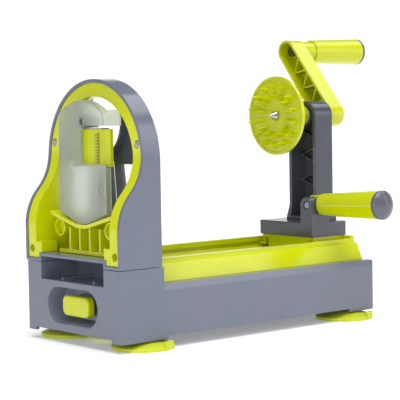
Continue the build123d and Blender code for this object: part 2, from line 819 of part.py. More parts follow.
# Lime insert behind the window: a curved ramp under the slicing blade and a pocket for the comb
with BuildPart() as blade_insert:
    with BuildSketch(Plane.XY.offset(insert_floor)):
        with BuildLine():
            Polyline(
                (insert_face, insert_left),
                (insert_back, insert_left),
                (insert_back, insert_right),
                (insert_back - ramp_lip, insert_right),
                (insert_back - ramp_lip, comb_offset - 2 * ramp_lip),
            )
            ThreePointArc(
                (insert_back - ramp_lip, comb_offset - 2 * ramp_lip),
                (insert_face + ramp_sag, (comb_offset + insert_left) / 2 - ramp_lip),
                (insert_face, insert_left),
            )
        make_face()
    extrude(amount=insert_top - insert_floor)
    with BuildSketch(Plane.XZ.offset(-comb_offset)):
        with Locations(((insert_face + insert_back) / 2, (insert_floor + insert_top) / 2)):
            Rectangle(2 * cartridge_rim + insert_depth, comb_teeth * comb_pitch + 2 * insert_gap)
    extrude(amount=comb_plate / 2 + slide_clearance / 2, both=True, mode=Mode.SUBTRACT)
save(blade_insert, "blade_insert")

with BuildPart() as slicing_blade:
    with BuildSketch(Plane.XZ.offset(-insert_left)) as blade_section:
        with BuildLine():
            Polyline(
                (insert_face + 1, slicing_blade_height - blade_thickness / 2),
                (insert_back - 1, slicing_blade_height - blade_thickness / 2),
                (insert_back + blade_nose, slicing_blade_height + blade_thickness / 2),
                (insert_face + 1, slicing_blade_height + blade_thickness / 2),
                close=True,
            )
        make_face()
    extrude(amount=slicing_blade_reach)
save(slicing_blade, "slicing_blade")

comb_length = comb_teeth * comb_pitch
comb_bottom = (insert_floor + insert_top) / 2 - comb_length / 2
comb_front = insert_back - comb_inset - comb_strip
with BuildPart() as comb_blade:
    with BuildSketch(Plane.XZ.offset(-comb_offset)):
        with Locations((comb_front + comb_strip / 2, comb_bottom + comb_length / 2)):
            Rectangle(comb_strip, comb_length)
        # Pointed teeth towards the front, with their tips in view through the window
        for tooth in range(comb_teeth):
            tooth_low = comb_bottom + tooth * comb_pitch
            with BuildLine():
                Polyline(
                    (comb_front, tooth_low),
                    (comb_front - comb_tooth, tooth_low + comb_pitch * 0.25),
                    (comb_front, tooth_low + comb_pitch * 0.85),
                    close=True,
                )
            make_face()
    extrude(amount=comb_plate / 2, both=True)
save(comb_blade, "comb_blade")

with BuildPart() as coring_ring:
    with BuildSketch(Plane.YZ.offset(cartridge_x + cartridge_wall)):
        with Locations((0, axis_height)):
            Circle(coring_radius + coring_wall)
            Circle(coring_radius, mode=Mode.SUBTRACT)
    extrude(amount=cartridge_end - cartridge_x - cartridge_wall)
    chamfer(coring_ring.faces().sort_by(Axis.X)[-1].edges().sort_by(SortBy.LENGTH)[-1], coring_wall * 0.6)
save(coring_ring, "coring_ring")

# ---------------------------------------------------------------- cartridge seat
seat_floor = bay_roof + sill + seat_gap
with BuildPart() as cartridge_seat:
    # V-shaped shelf under the cartridge's lower edge
    with BuildSketch(Plane.YZ.offset(front + seat_front)):
        with BuildLine():
            Polyline(
                (seat_half_width, shelf_height),
                (keel_half_width + 1, cartridge_keel - seat_gap),
                (-keel_half_width - 1, cartridge_keel - seat_gap),
                (-seat_half_width, shelf_height),
                (-seat_half_width, shelf_height - seat_thickness),
                (-keel_half_width, cartridge_keel - seat_gap - seat_thickness),
                (keel_half_width, cartridge_keel - seat_gap - seat_thickness),
                (seat_half_width, shelf_height - seat_thickness),
                close=True,
            )
        make_face()
    extrude(amount=seat_back - seat_front)
    # Web, ribs and two round bosses down to the arch's floor
    with BuildSketch(Plane.YZ.offset(front + seat_back - seat_web)):
        with BuildLine():
            Polyline(
                (seat_half_width, shelf_height - seat_thickness / 2),
                (keel_half_width, cartridge_keel - seat_thickness),
                (-keel_half_width, cartridge_keel - seat_thickness),
                (-seat_half_width, shelf_height - seat_thickness / 2),
                (-seat_foot_half_width, seat_floor),
                (seat_foot_half_width, seat_floor),
                close=True,
            )
        make_face()
    extrude(amount=seat_web)
    with BuildSketch(Plane.YZ.offset(front + seat_front + seat_rib_inset)):
        for rib in (-1.5, -0.5, 0.5, 1.5):
            with Locations((rib * seat_rib_spread, seat_floor)):
                Rectangle(seat_rib, cartridge_keel - seat_thickness - seat_floor, align=(Align.CENTER, Align.MIN))
        with Locations((0, seat_floor)):
            Rectangle(2 * seat_foot_half_width, seat_thickness, align=(Align.CENTER, Align.MIN))
        for side in (-1, 1):
            with Locations((side * seat_boss_spread, seat_boss_height)):
                Circle(seat_boss_radius)
    extrude(amount=seat_back - seat_front - seat_rib_inset)
    for side in (-1, 1):
        with Locations(facing_front(front + seat_front + seat_rib_inset, side * seat_boss_spread, seat_boss_height)):
            Hole(seat_boss_radius - seat_thickness / 2, depth=seat_boss_recess)
        with Locations((front + seat_front + seat_screw_inset, side * seat_screw_spread, seat_floor + seat_thickness)):
            Hole(screw_shank_radius + head_gap, depth=seat_thickness)
save(cartridge_seat, "cartridge_seat")

# ---------------------------------------------------------------- slide tray
with BuildPart() as slide_tray:
    with BuildSketch(Plane.YZ.offset(tray_front)):
        with BuildLine():
            half_section = Polyline(
                (0, tray_floor - tray_floor_thickness),
                (tray_inner_half_width, tray_floor - tray_floor_thickness),
                (tray_foot_half_width - tray_floor_thickness, deck_height),
                (tray_foot_half_width, deck_height),
                (tray_shoulder_half_width, tray_shoulder_height),
                (tray_rim_half_width, tray_shoulder_height + 1.4),
                (tray_rim_half_width, tray_rim_height),
                (tray_inner_half_width, tray_rim_height),
                (tray_inner_half_width, tray_groove_high),
                (tray_inner_half_width + tray_groove_depth, tray_groove_high),
                (tray_inner_half_width + tray_groove_depth, tray_groove_low),
                (tray_inner_half_width, tray_groove_low),
                (tray_inner_half_width, tray_floor),
                (0, tray_floor),
            )
            mirror(half_section, about=Plane.YZ)
        make_face()
    extrude(amount=tray_back - tray_front)
    # Rear end closed by a stop that stands a little over the rim
    with BuildSketch(Plane.YZ.offset(tray_back - tray_stop_thickness)):
        with BuildLine():
            Polyline(
                (-tray_foot_half_width + 1, deck_height),
                (tray_foot_half_width - 1, deck_height),
                (tray_shoulder_half_width - 1, tray_shoulder_height),
                (tray_rim_half_width, tray_shoulder_height + 1.4),
                (tray_rim_half_width, tray_stop_height),
                (-tray_rim_half_width, tray_stop_height),
                (-tray_rim_half_width, tray_shoulder_height + 1.4),
                (-tray_shoulder_half_width + 1, tray_shoulder_height),
                close=True,
            )
        make_face()
    extrude(amount=tray_stop_thickness)
    # Screw bosses under the floor
    with BuildSketch(Plane.XY.offset(deck_height)):
        with Locations(*tray_screw_places):
            Circle(tray_boss_radius)
    extrude(amount=tray_floor - deck_height - tray_floor_thickness / 2)
    with Locations(*[Plane(origin=(x, y, deck_height), z_dir=(0, 0, -1)) for x, y in tray_screw_places]):
        Hole(screw_shank_radius, depth=tray_floor - deck_height - tray_floor_thickness / 2)
save(slide_tray, "slide_tray")

# ---------------------------------------------------------------- carriage
ear_front = carriage_x
rear_ear_back = ear_front + ear_thickness + 2 * tang_clearance + tang_thickness + rear_ear_thickness
pivot_at = (-handle_pivot_side, handle_pivot_height)
with BuildPart() as carriage_base:
    with BuildSketch(Plane.XY.offset(carriage_bottom)):
        with Locations((carriage_x + carriage_length / 2, 0)):
            RectangleRounded(carriage_length, 2 * carriage_half_width, carriage_fillet)
    extrude(amount=carriage_thickness)
    fillet(carriage_base.faces().sort_by(Axis.Z)[-1].edges(), carriage_fillet / 2)
    # Two ears that hold the push handle's tang, with a shelf between them as its stop
    with BuildSketch(Plane.YZ.offset(ear_front)) as ears:
        with BuildLine():
            Line((-carriage_half_width, carriage_bottom + 1), (-carriage_half_width, handle_pivot_height))
            ThreePointArc(
                (-carriage_half_width, handle_pivot_height),
                (-handle_pivot_side, handle_pivot_height + ear_radius),
                (ear_inner, handle_pivot_height),
            )
            Line((ear_inner, handle_pivot_height), (ear_inner, carriage_bottom + 1))
            Line((ear_inner, carriage_bottom + 1), (-carriage_half_width, carriage_bottom + 1))
        make_face()
    extrude(amount=rear_ear_back - ear_front)
    with BuildSketch(Plane.YZ.offset(ear_front + ear_thickness)):
        with Locations(((ear_inner - carriage_half_width) / 2, handle_shelf_height + 2 * ear_radius)):
            Rectangle(carriage_half_width + 2 * ear_radius, 4 * ear_radius)
    extrude(amount=tang_thickness + 2 * tang_clearance, mode=Mode.SUBTRACT)
    with Locations(facing_front(ear_front, *pivot_at)):
        CounterBoreHole(screw_shank_radius + head_gap, screw_head_radius + head_gap, screw_head_height + 0.6)
    # Screw holes for the column and the runner, open underneath
    with Locations(*[Plane(origin=(x, y, carriage_bottom), z_dir=(0, 0, -1)) for x, y in runner_screw_places]):
        Hole(screw_shank_radius, depth=runner_screw_bite)
    for y in (-column_screw_spread, column_screw_spread):
        with Locations(Plane(origin=(column_x + column_depth / 2, y, carriage_bottom), z_dir=(0, 0, -1))):
            CounterBoreHole(screw_shank_radius + head_gap, screw_head_radius + head_gap, screw_head_height + 0.6)
save(carriage_base, "carriage_base")

# Runner: fills the trough's middle and hooks into the grooves along both walls
runner_front = carriage_x + runner_inset
runner_length = carriage_length - 2 * runner_inset - slide_clearance
lip_low = tray_groove_low + slide_clearance
lip_high = tray_groove_high - slide_clearance
with BuildPart() as carriage_runner:
    with BuildSketch(Plane.YZ.offset(runner_front)):
        with BuildLine():
            half_runner = Polyline(
                (0, carriage_bottom),
                (runner_half_width, carriage_bottom),
                (runner_half_width, lip_high),
                (tray_inner_half_width + tray_groove_depth - slide_clearance, lip_high),
                (tray_inner_half_width + tray_groove_depth - slide_clearance, lip_low),
                (runner_half_width - runner_lip, lip_low),
                (runner_half_width - runner_lip, carriage_bottom - runner_lip),
                (runner_box_half_width, carriage_bottom - runner_lip),
                (runner_box_half_width, tray_floor + slide_clearance),
                (0, tray_floor + slide_clearance),
            )
            mirror(half_runner, about=Plane.YZ)
        make_face()
    extrude(amount=runner_length)
    with Locations(*[Plane(origin=(x, y, tray_floor + slide_clearance), z_dir=(0, 0, -1))
                     for x, y in runner_screw_places]):
        CounterBoreHole(screw_shank_radius + head_gap, screw_head_radius + head_gap, runner_screw_depth)
    for y in (-column_screw_spread, column_screw_spread):
        with Locations((column_x + column_depth / 2, y, carriage_bottom)):
            Hole(screw_head_radius + 2 * head_gap)
save(carriage_runner, "carriage_runner")

# ---------------------------------------------------------------- column
column_middle = column_x + column_depth / 2
with BuildPart() as column:
    with BuildSketch(Plane.YZ.offset(column_x)) as column_front_view:
        with BuildLine():
            half_column = Polyline(
                (0, carriage_top),
                (column_half_width + column_foot_flare, carriage_top),
                (column_half_width + column_foot_flare, carriage_top + 2),
                (column_half_width, carriage_top + column_foot_height),
                (column_half_width, column_top),
                (0, column_top),
            )
            mirror(half_column, about=Plane.YZ)
        make_face()
        fillet(column_front_view.vertices().group_by(Axis.Y)[-1], column_top_radius)
        waist = column_front_view.vertices().filter_by_position(
            Axis.Y, carriage_top + column_foot_height - 1, carriage_top + column_foot_height + 1)
        fillet(waist, column_foot_height)
    extrude(amount=column_depth)
    fillet(column.faces().sort_by(Axis.X)[-1].edges().sort_by(Axis.Z)[1:], column_edge_radius)
    # Deep recess that faces the arch
    with BuildSketch(Plane.YZ.offset(column_x)) as recess_view:
        with BuildLine():
            half_recess = Polyline(
                (0, carriage_top + column_wall),
                (column_half_width - column_wall + column_foot_flare / 2, carriage_top + column_wall),
                (column_half_width - column_wall, carriage_top + column_foot_height),
                (column_half_width - column_wall, column_top - column_wall),
                (0, column_top - column_wall),
            )
            mirror(half_recess, about=Plane.YZ)
        make_face()
        fillet(recess_view.vertices().group_by(Axis.Y)[-1], column_top_radius - column_wall)
    extrude(amount=column_recess, mode=Mode.SUBTRACT)
    # Low zigzag ribs on the recess's back wall
    zigzag_floor = carriage_top + column_foot_height
    zigzag_top = axis_height - column_boss_radius
    zigzags = int((zigzag_top - zigzag_floor) / column_rib_pitch)
    with BuildSketch(Plane.YZ.offset(column_x + column_recess - column_rib_height)):
        with BuildLine():
            corner = column_half_width - column_wall + 0.5
            Polyline(*[
                ((-1) ** step * corner, zigzag_floor + step * column_rib_pitch / 2)
                for step in range(2 * zigzags + 1)
            ])
            offset(amount=column_rib / 2, side=Side.BOTH, closed=True)
        make_face()
    extrude(amount=column_rib_height + 0.5)
    # Spindle boss across the whole depth, bored for a bush at each end
    with BuildSketch(Plane.YZ.offset(column_x + bush_flange)):
        with Locations((0, axis_height)):
            Circle(column_boss_radius)
        with Locations((0, (axis_height + column_top) / 2)):
            Rectangle(column_rib, column_top - axis_height)
    extrude(amount=column_recess)
    with Locations((column_middle, 0, axis_height)):
        Cylinder(bush_radius + running_fit, 2 * column_depth, rotation=(0, 90, 0), mode=Mode.SUBTRACT)
    for y in (-column_screw_spread, column_screw_spread):
        with BuildSketch(Plane.XY.offset(carriage_top)):
            with Locations((column_middle, y)):
                Circle(screw_head_radius + 1)
        extrude(amount=column_foot_height)
        with Locations(Plane(origin=(column_middle, y, carriage_top), z_dir=(0, 0, -1))):
            Hole(screw_shank_radius, depth=column_foot_height - 1)
save(column, "column")

# ---------------------------------------------------------------- spindle
for name, outer_face, side in (("front_bush", column_x + bush_flange, -1), ("rear_bush", column_back, 1)):
    with BuildPart() as bush:
        with BuildSketch(Plane.YZ.offset(outer_face)):
            with Locations((0, axis_height)):
                Circle(bush_radius)
        extrude(amount=-side * bush_length)
        with BuildSketch(Plane.YZ.offset(outer_face)):
            with Locations((0, axis_height)):
                Circle(bush_flange_radius)
        extrude(amount=side * (bush_flange - slide_clearance))
        with Locations((outer_face, 0, axis_height)):
            Cylinder(shaft_radius + running_fit, 3 * bush_length, rotation=(0, 90, 0), mode=Mode.SUBTRACT)
    save(bush, name)

disc_face = disc_back - disc_plate
hub_back = column_x - slide_clearance
with BuildPart() as spiked_disc:
    with BuildSketch(Plane.YZ.offset(disc_back)):
        with Locations((0, axis_height)):
            Circle(disc_radius)
    extrude(amount=-disc_rim_height)
    fillet(spiked_disc.edges().group_by(Axis.X)[-1], disc_rim_wall / 2)
    with BuildSketch(Plane.YZ.offset(disc_face)):
        with Locations((0, axis_height)):
            Circle(disc_radius - disc_rim_wall)
    extrude(amount=-disc_rim_height, mode=Mode.SUBTRACT)
    # Two rings of pointed spikes, each leaning outward at its tip
    for circle in (outer_spike_circle, inner_spike_circle):
        for spike in range(spikes_in_ring):
            turn = radians(360 * (spike + 0.5) / spikes_in_ring)
            hub_plane = Plane(origin=(disc_face, 0, axis_height), x_dir=(0, cos(turn), sin(turn)),
                              z_dir=(-1, 0, 0))
            with BuildSketch(hub_plane):
                with Locations((circle, 0)):
                    Rectangle(spike_width, spike_thickness)
            with BuildSketch(hub_plane.offset(spike_length)):
                with Locations((circle + spike_width / 4, 0)):
                    Rectangle(spike_tip, spike_tip)
            loft()
    with BuildSketch(Plane.YZ.offset(disc_back - 1)):
        with Locations((0, axis_height)):
            Circle(disc_hub_radius)
    extrude(amount=hub_back - disc_back + 1)
    fillet(spiked_disc.edges().filter_by(GeomType.CIRCLE).group_by(Axis.X)[-1].sort_by(SortBy.LENGTH)[-1:],
           bush_flange / 2)
    with Locations((hub_back, 0, axis_height)):
        Cylinder(shaft_radius + running_fit, 2 * (hub_back - disc_face), rotation=(0, 90, 0), mode=Mode.SUBTRACT)
save(spiked_disc, "spiked_disc")

with BuildPart() as spindle_shaft:
    with BuildSketch(Plane.YZ.offset(disc_face - shaft_nose)):
        with Locations((0, axis_height)):
            Circle(shaft_radius)
    extrude(amount=crank_back - crank_web - disc_face + shaft_nose - crank_screw_seat)
    # Sharp nose that centres the workpiece
    with BuildSketch(Plane.YZ.offset(disc_face - shaft_nose)):
        with Locations((0, axis_height)):
            Circle(shaft_radius)
    with BuildSketch(Plane.YZ.offset(disc_face - shaft_nose - nose_length)):
        with Locations((0, axis_height)):
            Circle(spike_tip / 2)
    loft()
    shaft_end = spindle_shaft.faces().sort_by(Axis.X)[-1]
    with Locations(Plane(shaft_end)):
        Hole(screw_shank_radius, depth=crank_screw_depth)
save(spindle_shaft, "spindle_shaft")

# ---------------------------------------------------------------- crank
tip = (tip_y, tip_z)
hub = (0, axis_height)


def crank_outline(inset: float) -> Sketch:
    """Front view of the crank arm: two round ends joined by their outer tangents."""
    hub_radius = crank_hub_radius - inset
    tip_radius = crank_tip_radius - inset
    lean = degrees(atan2(hub_radius - tip_radius, crank_radius))
    rise = degrees(atan2(tip_z - axis_height, tip_y))
    corners = []
    for side in (1, -1):
        turn = radians(rise + side * (90 - lean))
        corners.append((hub_radius * cos(turn), axis_height + hub_radius * sin(turn)))
        corners.append((tip_y + tip_radius * cos(turn), tip_z + tip_radius * sin(turn)))
    with BuildSketch() as outline:
        with BuildLine():
            Polyline(corners[0], corners[1], corners[3], corners[2], close=True)
        make_face()
        with Locations(hub):
            Circle(hub_radius)
        with Locations(tip):
            Circle(tip_radius)
    return outline.sketch


with BuildPart() as crank_arm:
    with BuildSketch(Plane.YZ.offset(crank_x)):
        add(crank_outline(0))
    extrude(amount=crank_arm_depth)
    fillet(crank_arm.faces().sort_by(Axis.X)[-1].edges(), crank_wall / 2)
    with BuildSketch(Plane.YZ.offset(crank_x)):
        add(crank_outline(crank_wall))
    extrude(amount=crank_arm_depth - crank_web, mode=Mode.SUBTRACT)
    # Zigzag stiffening ribs inside the hollow
    along = (cos(radians(crank_angle)), sin(radians(crank_angle)))
    across = (-along[1], along[0])
    zigzag = []
    for step in range(crank_zigzags + 1):
        distance = crank_hub_radius + step * (crank_radius - crank_hub_radius - crank_tip_radius) / crank_zigzags
        reach = (-1) ** step * (crank_tip_radius - crank_wall)
        zigzag.append((distance * along[0] + reach * across[0], axis_height + distance * along[1] + reach * across[1]))
    with BuildSketch(Plane.YZ.offset(crank_x + crank_rib_drop)):
        with BuildLine():
            Polyline(*zigzag)
            offset(amount=crank_rib / 2, side=Side.BOTH, closed=True)
        make_face()
    extrude(amount=crank_arm_depth - crank_rib_drop - crank_web / 2)
    # Hub boss for the shaft, and deep in the cup at the tip a boss for the grip's axle
    with BuildSketch(Plane.YZ.offset(crank_x)):
        with Locations(hub):
            Circle(shaft_radius + crank_web)
    extrude(amount=crank_arm_depth)
    with BuildSketch(Plane.YZ.offset(crank_x)):
        with Locations(tip):
            Circle(crank_tip_radius - crank_wall)
    extrude(amount=crank_arm_depth - tip_boss_length, mode=Mode.SUBTRACT)
    with BuildSketch(Plane.YZ.offset(crank_back - tip_boss_length)):
        with Locations(tip):
            Circle(grip_axle_radius + crank_wall)
    extrude(amount=tip_boss_length)
    with BuildSketch(Plane.YZ.offset(crank_back - crank_web / 2)):
        with Locations(tip):
            Circle(crank_tip_radius - 1)
    extrude(amount=grip_x - crank_back - slide_clearance + crank_web / 2)
    with Locations((crank_x, *hub)):
        Cylinder(shaft_radius + head_gap / 5, 2 * (crank_arm_depth - crank_web - crank_screw_seat),
                 rotation=(0, 90, 0), mode=Mode.SUBTRACT)
    with Locations((crank_back, *hub)):
        Cylinder(screw_shank_radius + head_gap, 2 * crank_arm_depth, rotation=(0, 90, 0), mode=Mode.SUBTRACT)
        Cylinder(screw_head_radius + head_gap, 2 * (screw_head_height - 1), rotation=(0, 90, 0), mode=Mode.SUBTRACT)
    with Locations((crank_x, *tip)):
        Cylinder(grip_axle_radius + head_gap / 5, 4 * crank_arm_depth, rotation=(0, 90, 0), mode=Mode.SUBTRACT)
save(crank_arm, "crank_arm")

grip_end = grip_x + grip_length - grip_cap_length
with BuildPart() as grip_axle:
    axle_start = crank_back - tip_boss_length
    with Locations((axle_start, *tip)):
        Cylinder(grip_axle_radius, grip_end - axle_end_gap - axle_start, rotation=(0, 90, 0),
                 align=(Align.CENTER, Align.CENTER, Align.MIN))
        Cylinder(grip_axle_radius + axle_head_rim, axle_head_length, rotation=(0, 90, 0),
                 align=(Align.CENTER, Align.CENTER, Align.MAX))
save(grip_axle, "grip_axle")


def turned_handle(length: float, root: float, end: float) -> Sketch:
    """Half section of a tapered grip along local X, from its root to its far face."""
    with BuildSketch() as section:
        with BuildLine():
            Polyline((0, 0), (root - 1, 0), (root, 1), (end, length), (0, length), close=True)
        make_face()
    return section.sketch


def domed_cap(length: float, radius: float) -> Part:
    """End cap along Z: a short collar closed by a shallow dome."""
    dome_height = length - cap_collar
    sphere_radius = (radius**2 + dome_height**2) / (2 * dome_height)
    with BuildPart() as cap:
        Cylinder(radius, length, align=(Align.CENTER, Align.CENTER, Align.MIN))
        with Locations((0, 0, length - sphere_radius)):
            Sphere(sphere_radius, mode=Mode.INTERSECT)
    return cap.part


crank_grip_axis = Plane(origin=(grip_x, *tip), x_dir=(0, 0, 1), z_dir=(0, 1, 0))
with BuildPart() as crank_grip:
    with BuildSketch(crank_grip_axis):
        add(turned_handle(grip_length - grip_cap_length, grip_root_radius, grip_end_radius))
    revolve(axis=Axis((grip_x, *tip), (1, 0, 0)))
    with Locations((grip_x, *tip)):
        Cylinder(grip_axle_radius + running_fit, 2 * (grip_length - grip_cap_length), rotation=(0, 90, 0),
                 mode=Mode.SUBTRACT)
save(crank_grip, "crank_grip")

with BuildPart() as crank_grip_cap:
    with Locations(Location((grip_end, *tip), (0, 90, 0))):
        add(domed_cap(grip_cap_length, grip_end_radius))
save(crank_grip_cap, "crank_grip_cap")

# ---------------------------------------------------------------- push handle
push_x = ear_front + ear_thickness + tang_clearance + tang_thickness / 2
push_cone_end = -push_end + push_cap_length
push_tilt = Axis((push_x, -handle_pivot_side, handle_pivot_height), (1, 0, 0))
push_root_plane = Plane(origin=(push_x, -push_root, handle_pivot_height), x_dir=(0, 0, 1), z_dir=(1, 0, 0))
with BuildPart(mode=Mode.PRIVATE) as push_grip:
    with BuildSketch(push_root_plane):
        add(turned_handle(-push_cone_end - push_root, push_root_radius, push_end_radius))
    revolve(axis=Axis((push_x, -push_root, handle_pivot_height), (0, -1, 0)))
with BuildPart() as push_handle:
    add(push_grip.part.rotate(push_tilt, -push_rise))
    with BuildSketch(Plane.YZ.offset(push_x - tang_thickness / 2)):
        with Locations(pivot_at):
            Circle(tang_radius)
        with Locations(((-push_root - handle_pivot_side) / 2, handle_pivot_height)):
            Rectangle(push_root - handle_pivot_side + 4, 2 * tang_radius)
    extrude(amount=tang_thickness)
    with Locations((push_x, *pivot_at)):
        Cylinder(pivot_radius + running_fit, 3 * tang_thickness, rotation=(0, 90, 0), mode=Mode.SUBTRACT)
save(push_handle, "push_handle")

with BuildPart() as push_handle_cap:
    push_cap = Location((push_x, push_cone_end, handle_pivot_height), (90, 0, 0)) * domed_cap(
        push_cap_length, push_end_radius)
    add(push_cap.rotate(push_tilt, -push_rise))
save(push_handle_cap, "push_handle_cap")

# ---------------------------------------------------------------- lock pull and centre suction pad
pull_x = front + pull_front
pull_z = recess_center_height
slot_turn = -degrees(atan2(pad_travel, pull_travel))
slot_run = hypot(pull_travel, pad_travel)
with BuildPart() as lock_pull:
    with BuildSketch(Plane.YZ.offset(pull_x)):
        with Locations((0, pull_z)):
            RectangleRounded(pull_width, pull_height, pull_corner)
    extrude(amount=pull_thickness)
    fillet(lock_pull.faces().sort_by(Axis.X)[0].edges(), pull_edge)
    tail_height = pull_height - pull_thickness
    with BuildSketch(Plane.YZ.offset(pull_x + pull_thickness)):
        with Locations((0, pull_z)):
            Rectangle(2 * (stem_radius + cheek_thickness + slide_clearance), tail_height)
    extrude(amount=stem_x + tail_past_stem - pull_x - pull_thickness)
    with BuildSketch(Plane.XY.offset(pull_z)):
        with Locations((stem_x + stem_radius, 0)):
            Rectangle(2 * (pull_travel + 2 * stem_radius), 2 * (stem_radius + slide_clearance))
    extrude(amount=tail_height, both=True, mode=Mode.SUBTRACT)
    with BuildSketch(Plane.XZ):
        with Locations((stem_x + pull_travel / 2, pull_z - pad_travel / 2 + pin_rise)):
            SlotCenterToCenter(slot_run, 2 * (pin_radius + slide_clearance), rotation=slot_turn)
    extrude(amount=pull_width, both=True, mode=Mode.SUBTRACT)
save(lock_pull, "lock_pull")

stem_top = pull_z + pin_rise + pin_radius + 2
with BuildPart() as suction_pad:
    with BuildSketch(Plane.XZ):
        with BuildLine():
            Polyline(
                (0, pad_clear + 1),
                (pad_radius - 4, pad_clear),
                (pad_radius, pad_clear),
                (pad_radius, pad_clear + 1.6),
                (stem_radius + 3, pad_clear + 3),
                (stem_radius, pad_clear + 3),
                (stem_radius, stem_top),
                (0, stem_top),
                close=True,
            )
        make_face()
    revolve(axis=Axis.Z)
    with Locations((0, 0, pull_z + pin_rise)):
        Cylinder(pin_radius, 4 * stem_radius, rotation=(90, 0, 0), mode=Mode.SUBTRACT)
suction_pad.part.position = (stem_x, 0, 0)
save(suction_pad, "suction_pad")

with BuildPart() as pad_pin:
    with Locations((stem_x, 0, pull_z + pin_rise)):
        Cylinder(pin_radius, 2 * (stem_radius + cheek_thickness), rotation=(90, 0, 0))
save(pad_pin, "pad_pin")

# ---------------------------------------------------------------- screws, one node for each identical set
upward = Rotation(180, 0, 0)
to_the_front = Rotation(0, -90, 0)
to_the_back = Rotation(0, 90, 0)
screw_sets = {
    "trim_screws": (trim_screw_length, to_the_front, [
        (front + trim_inset + arch_setback + head_gap, side * trim_screw_spread, trim_screw_height)
        for side in (-1, 1)
    ]),
    "trim_lower_screws": (lug_screw_length, to_the_front, [
        (front + trim_inset + lug_screw_depth - screw_head_height, side * lug_screw_spread, lug_screw_height)
        for side in (-1, 1)
    ]),
    "seat_screws": (seat_thickness + 2, Rotation(0, 0, 0), [
        (front + seat_front + seat_screw_inset, side * seat_screw_spread, seat_floor + seat_thickness + screw_head_height)
        for side in (-1, 1)
    ]),
    "cover_screws": (cover_thickness + cover_screw_bite, upward, [(x, y, cover_bottom - screw_head_height) for x, y in cover_screw_places]),
    "tray_screws": (deck_screw_length, upward, [
        (x, y, side_wall_top - screw_head_height) for x, y in tray_screw_places
    ]),
    "arch_screws": (arch_screw_length, upward, [
        (x, y, block_height - base_wall - screw_head_height) for x, y in arch_screw_places
    ]),
    "frame_screws": (frame_screw_length, to_the_back, [
        (frame_back + screw_head_height, y, z) for y, z in frame_screw_places
    ]),
    "runner_screws": (carriage_bottom - tray_floor - runner_screw_depth + runner_screw_bite - 1, upward, [
        (x, y, tray_floor + slide_clearance + runner_screw_depth - screw_head_height) for x, y in runner_screw_places
    ]),
    "column_screws": (carriage_thickness + 6, upward, [
        (column_middle, side * column_screw_spread, carriage_bottom + 0.6) for side in (-1, 1)
    ]),
    "push_pivot_screw": (rear_ear_back - ear_front - screw_head_height - 1, to_the_front, [(ear_front + 0.6, *pivot_at)]),
    "crank_screw": (crank_screw_depth - 1, to_the_back, [(crank_back - (screw_head_height - 1) + screw_head_height, *hub)]),
}
for name, (length, turn, places) in screw_sets.items():
    with BuildPart() as screws:
        for place in places:
            with Locations(Location(place) * turn):
                add(screw(length))
    save(screws, name)
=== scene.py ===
"""Looks of a hand-cranked spiralizer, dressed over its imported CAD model.

Every CAD piece keeps its shape and place. This file gives each one its finish, puts
detailed screws in the places of the plain ones, and sets up a pale studio with one camera.
Lengths are in metres in the model's own frame: +Z up, -X towards the blade arch. A name
that ends in _mm holds millimetres.
"""

from __future__ import annotations

import json
import logging
import math
from dataclasses import dataclass
from enum import Enum
from typing import Any

import bmesh
import bpy
from mathutils import Matrix, Vector

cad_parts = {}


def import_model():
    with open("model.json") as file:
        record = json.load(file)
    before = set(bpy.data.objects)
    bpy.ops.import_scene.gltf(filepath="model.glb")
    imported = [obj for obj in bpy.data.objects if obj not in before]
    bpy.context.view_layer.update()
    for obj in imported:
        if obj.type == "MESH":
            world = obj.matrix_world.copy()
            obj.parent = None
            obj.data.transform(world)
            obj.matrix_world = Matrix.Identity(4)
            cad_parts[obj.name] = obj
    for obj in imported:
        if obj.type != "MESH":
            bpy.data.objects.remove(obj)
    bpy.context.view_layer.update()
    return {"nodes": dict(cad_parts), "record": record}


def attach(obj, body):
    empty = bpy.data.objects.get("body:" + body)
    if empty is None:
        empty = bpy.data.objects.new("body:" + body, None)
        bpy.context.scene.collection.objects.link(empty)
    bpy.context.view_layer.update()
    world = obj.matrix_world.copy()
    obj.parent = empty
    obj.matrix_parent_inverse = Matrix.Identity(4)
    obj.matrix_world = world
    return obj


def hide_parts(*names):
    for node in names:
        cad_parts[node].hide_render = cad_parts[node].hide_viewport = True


LOG = logging.getLogger("spiralizer")
MM = 0.001

# Octaves of a noise pattern
SMOOTH = 1.0
PLAIN = 2.0
CLOUDY = 3.0

# Rays that round an edge in a bevelled normal
EDGE_SAMPLES = 4
# Output of a colour Mix node that carries the mixed colour
MIXED_COLOUR = 2

# Mesh points closer than this are one point
SAME_POINT_MM = 0.001
# Points of a screw within this height or radius lie on the same face of it
SAME_FACE_MM = 0.1


# ------------------------------------------------------------------ node helpers


def linear(code: str) -> tuple[float, float, float, float]:
    """Turns an sRGB hex colour into the linear colour that shaders work in.

    Args:
        code: colour as "#RRGGBB".

    Returns:
        Linear red, green and blue, and an alpha of 1.
    """
    parts = [int(code[i:i + 2], 16) / 255 for i in (1, 3, 5)]
    # The curve that the sRGB standard gives
    lit = [p / 12.92 if p <= 0.04045 else ((p + 0.055) / 1.055) ** 2.4 for p in parts]
    return (lit[0], lit[1], lit[2], 1.0)


def per_mm(millimetres: float) -> float:
    """Pattern scale that repeats about once in this many millimetres."""
    return 1.0 / (millimetres * MM)


def add_node(
    tree: bpy.types.NodeTree,
    kind: str,
    inputs: dict[str | int, Any] | None = None,
    **settings: Any,
) -> bpy.types.Node:
    """Adds one shader node with its settings, constants and links.

    Args:
        tree: the material's node tree.
        kind: Blender's node type.
        inputs: by input name or index, a constant or the output socket to link from.
        **settings: attributes of the node itself, such as a blend mode.

    Returns:
        The new node.
    """
    node = tree.nodes.new(kind)
    for name, value in settings.items():
        setattr(node, name, value)
    for key, value in (inputs or {}).items():
        if isinstance(value, bpy.types.NodeSocket):
            tree.links.new(value, node.inputs[key])
        else:
            node.inputs[key].default_value = value
    return node


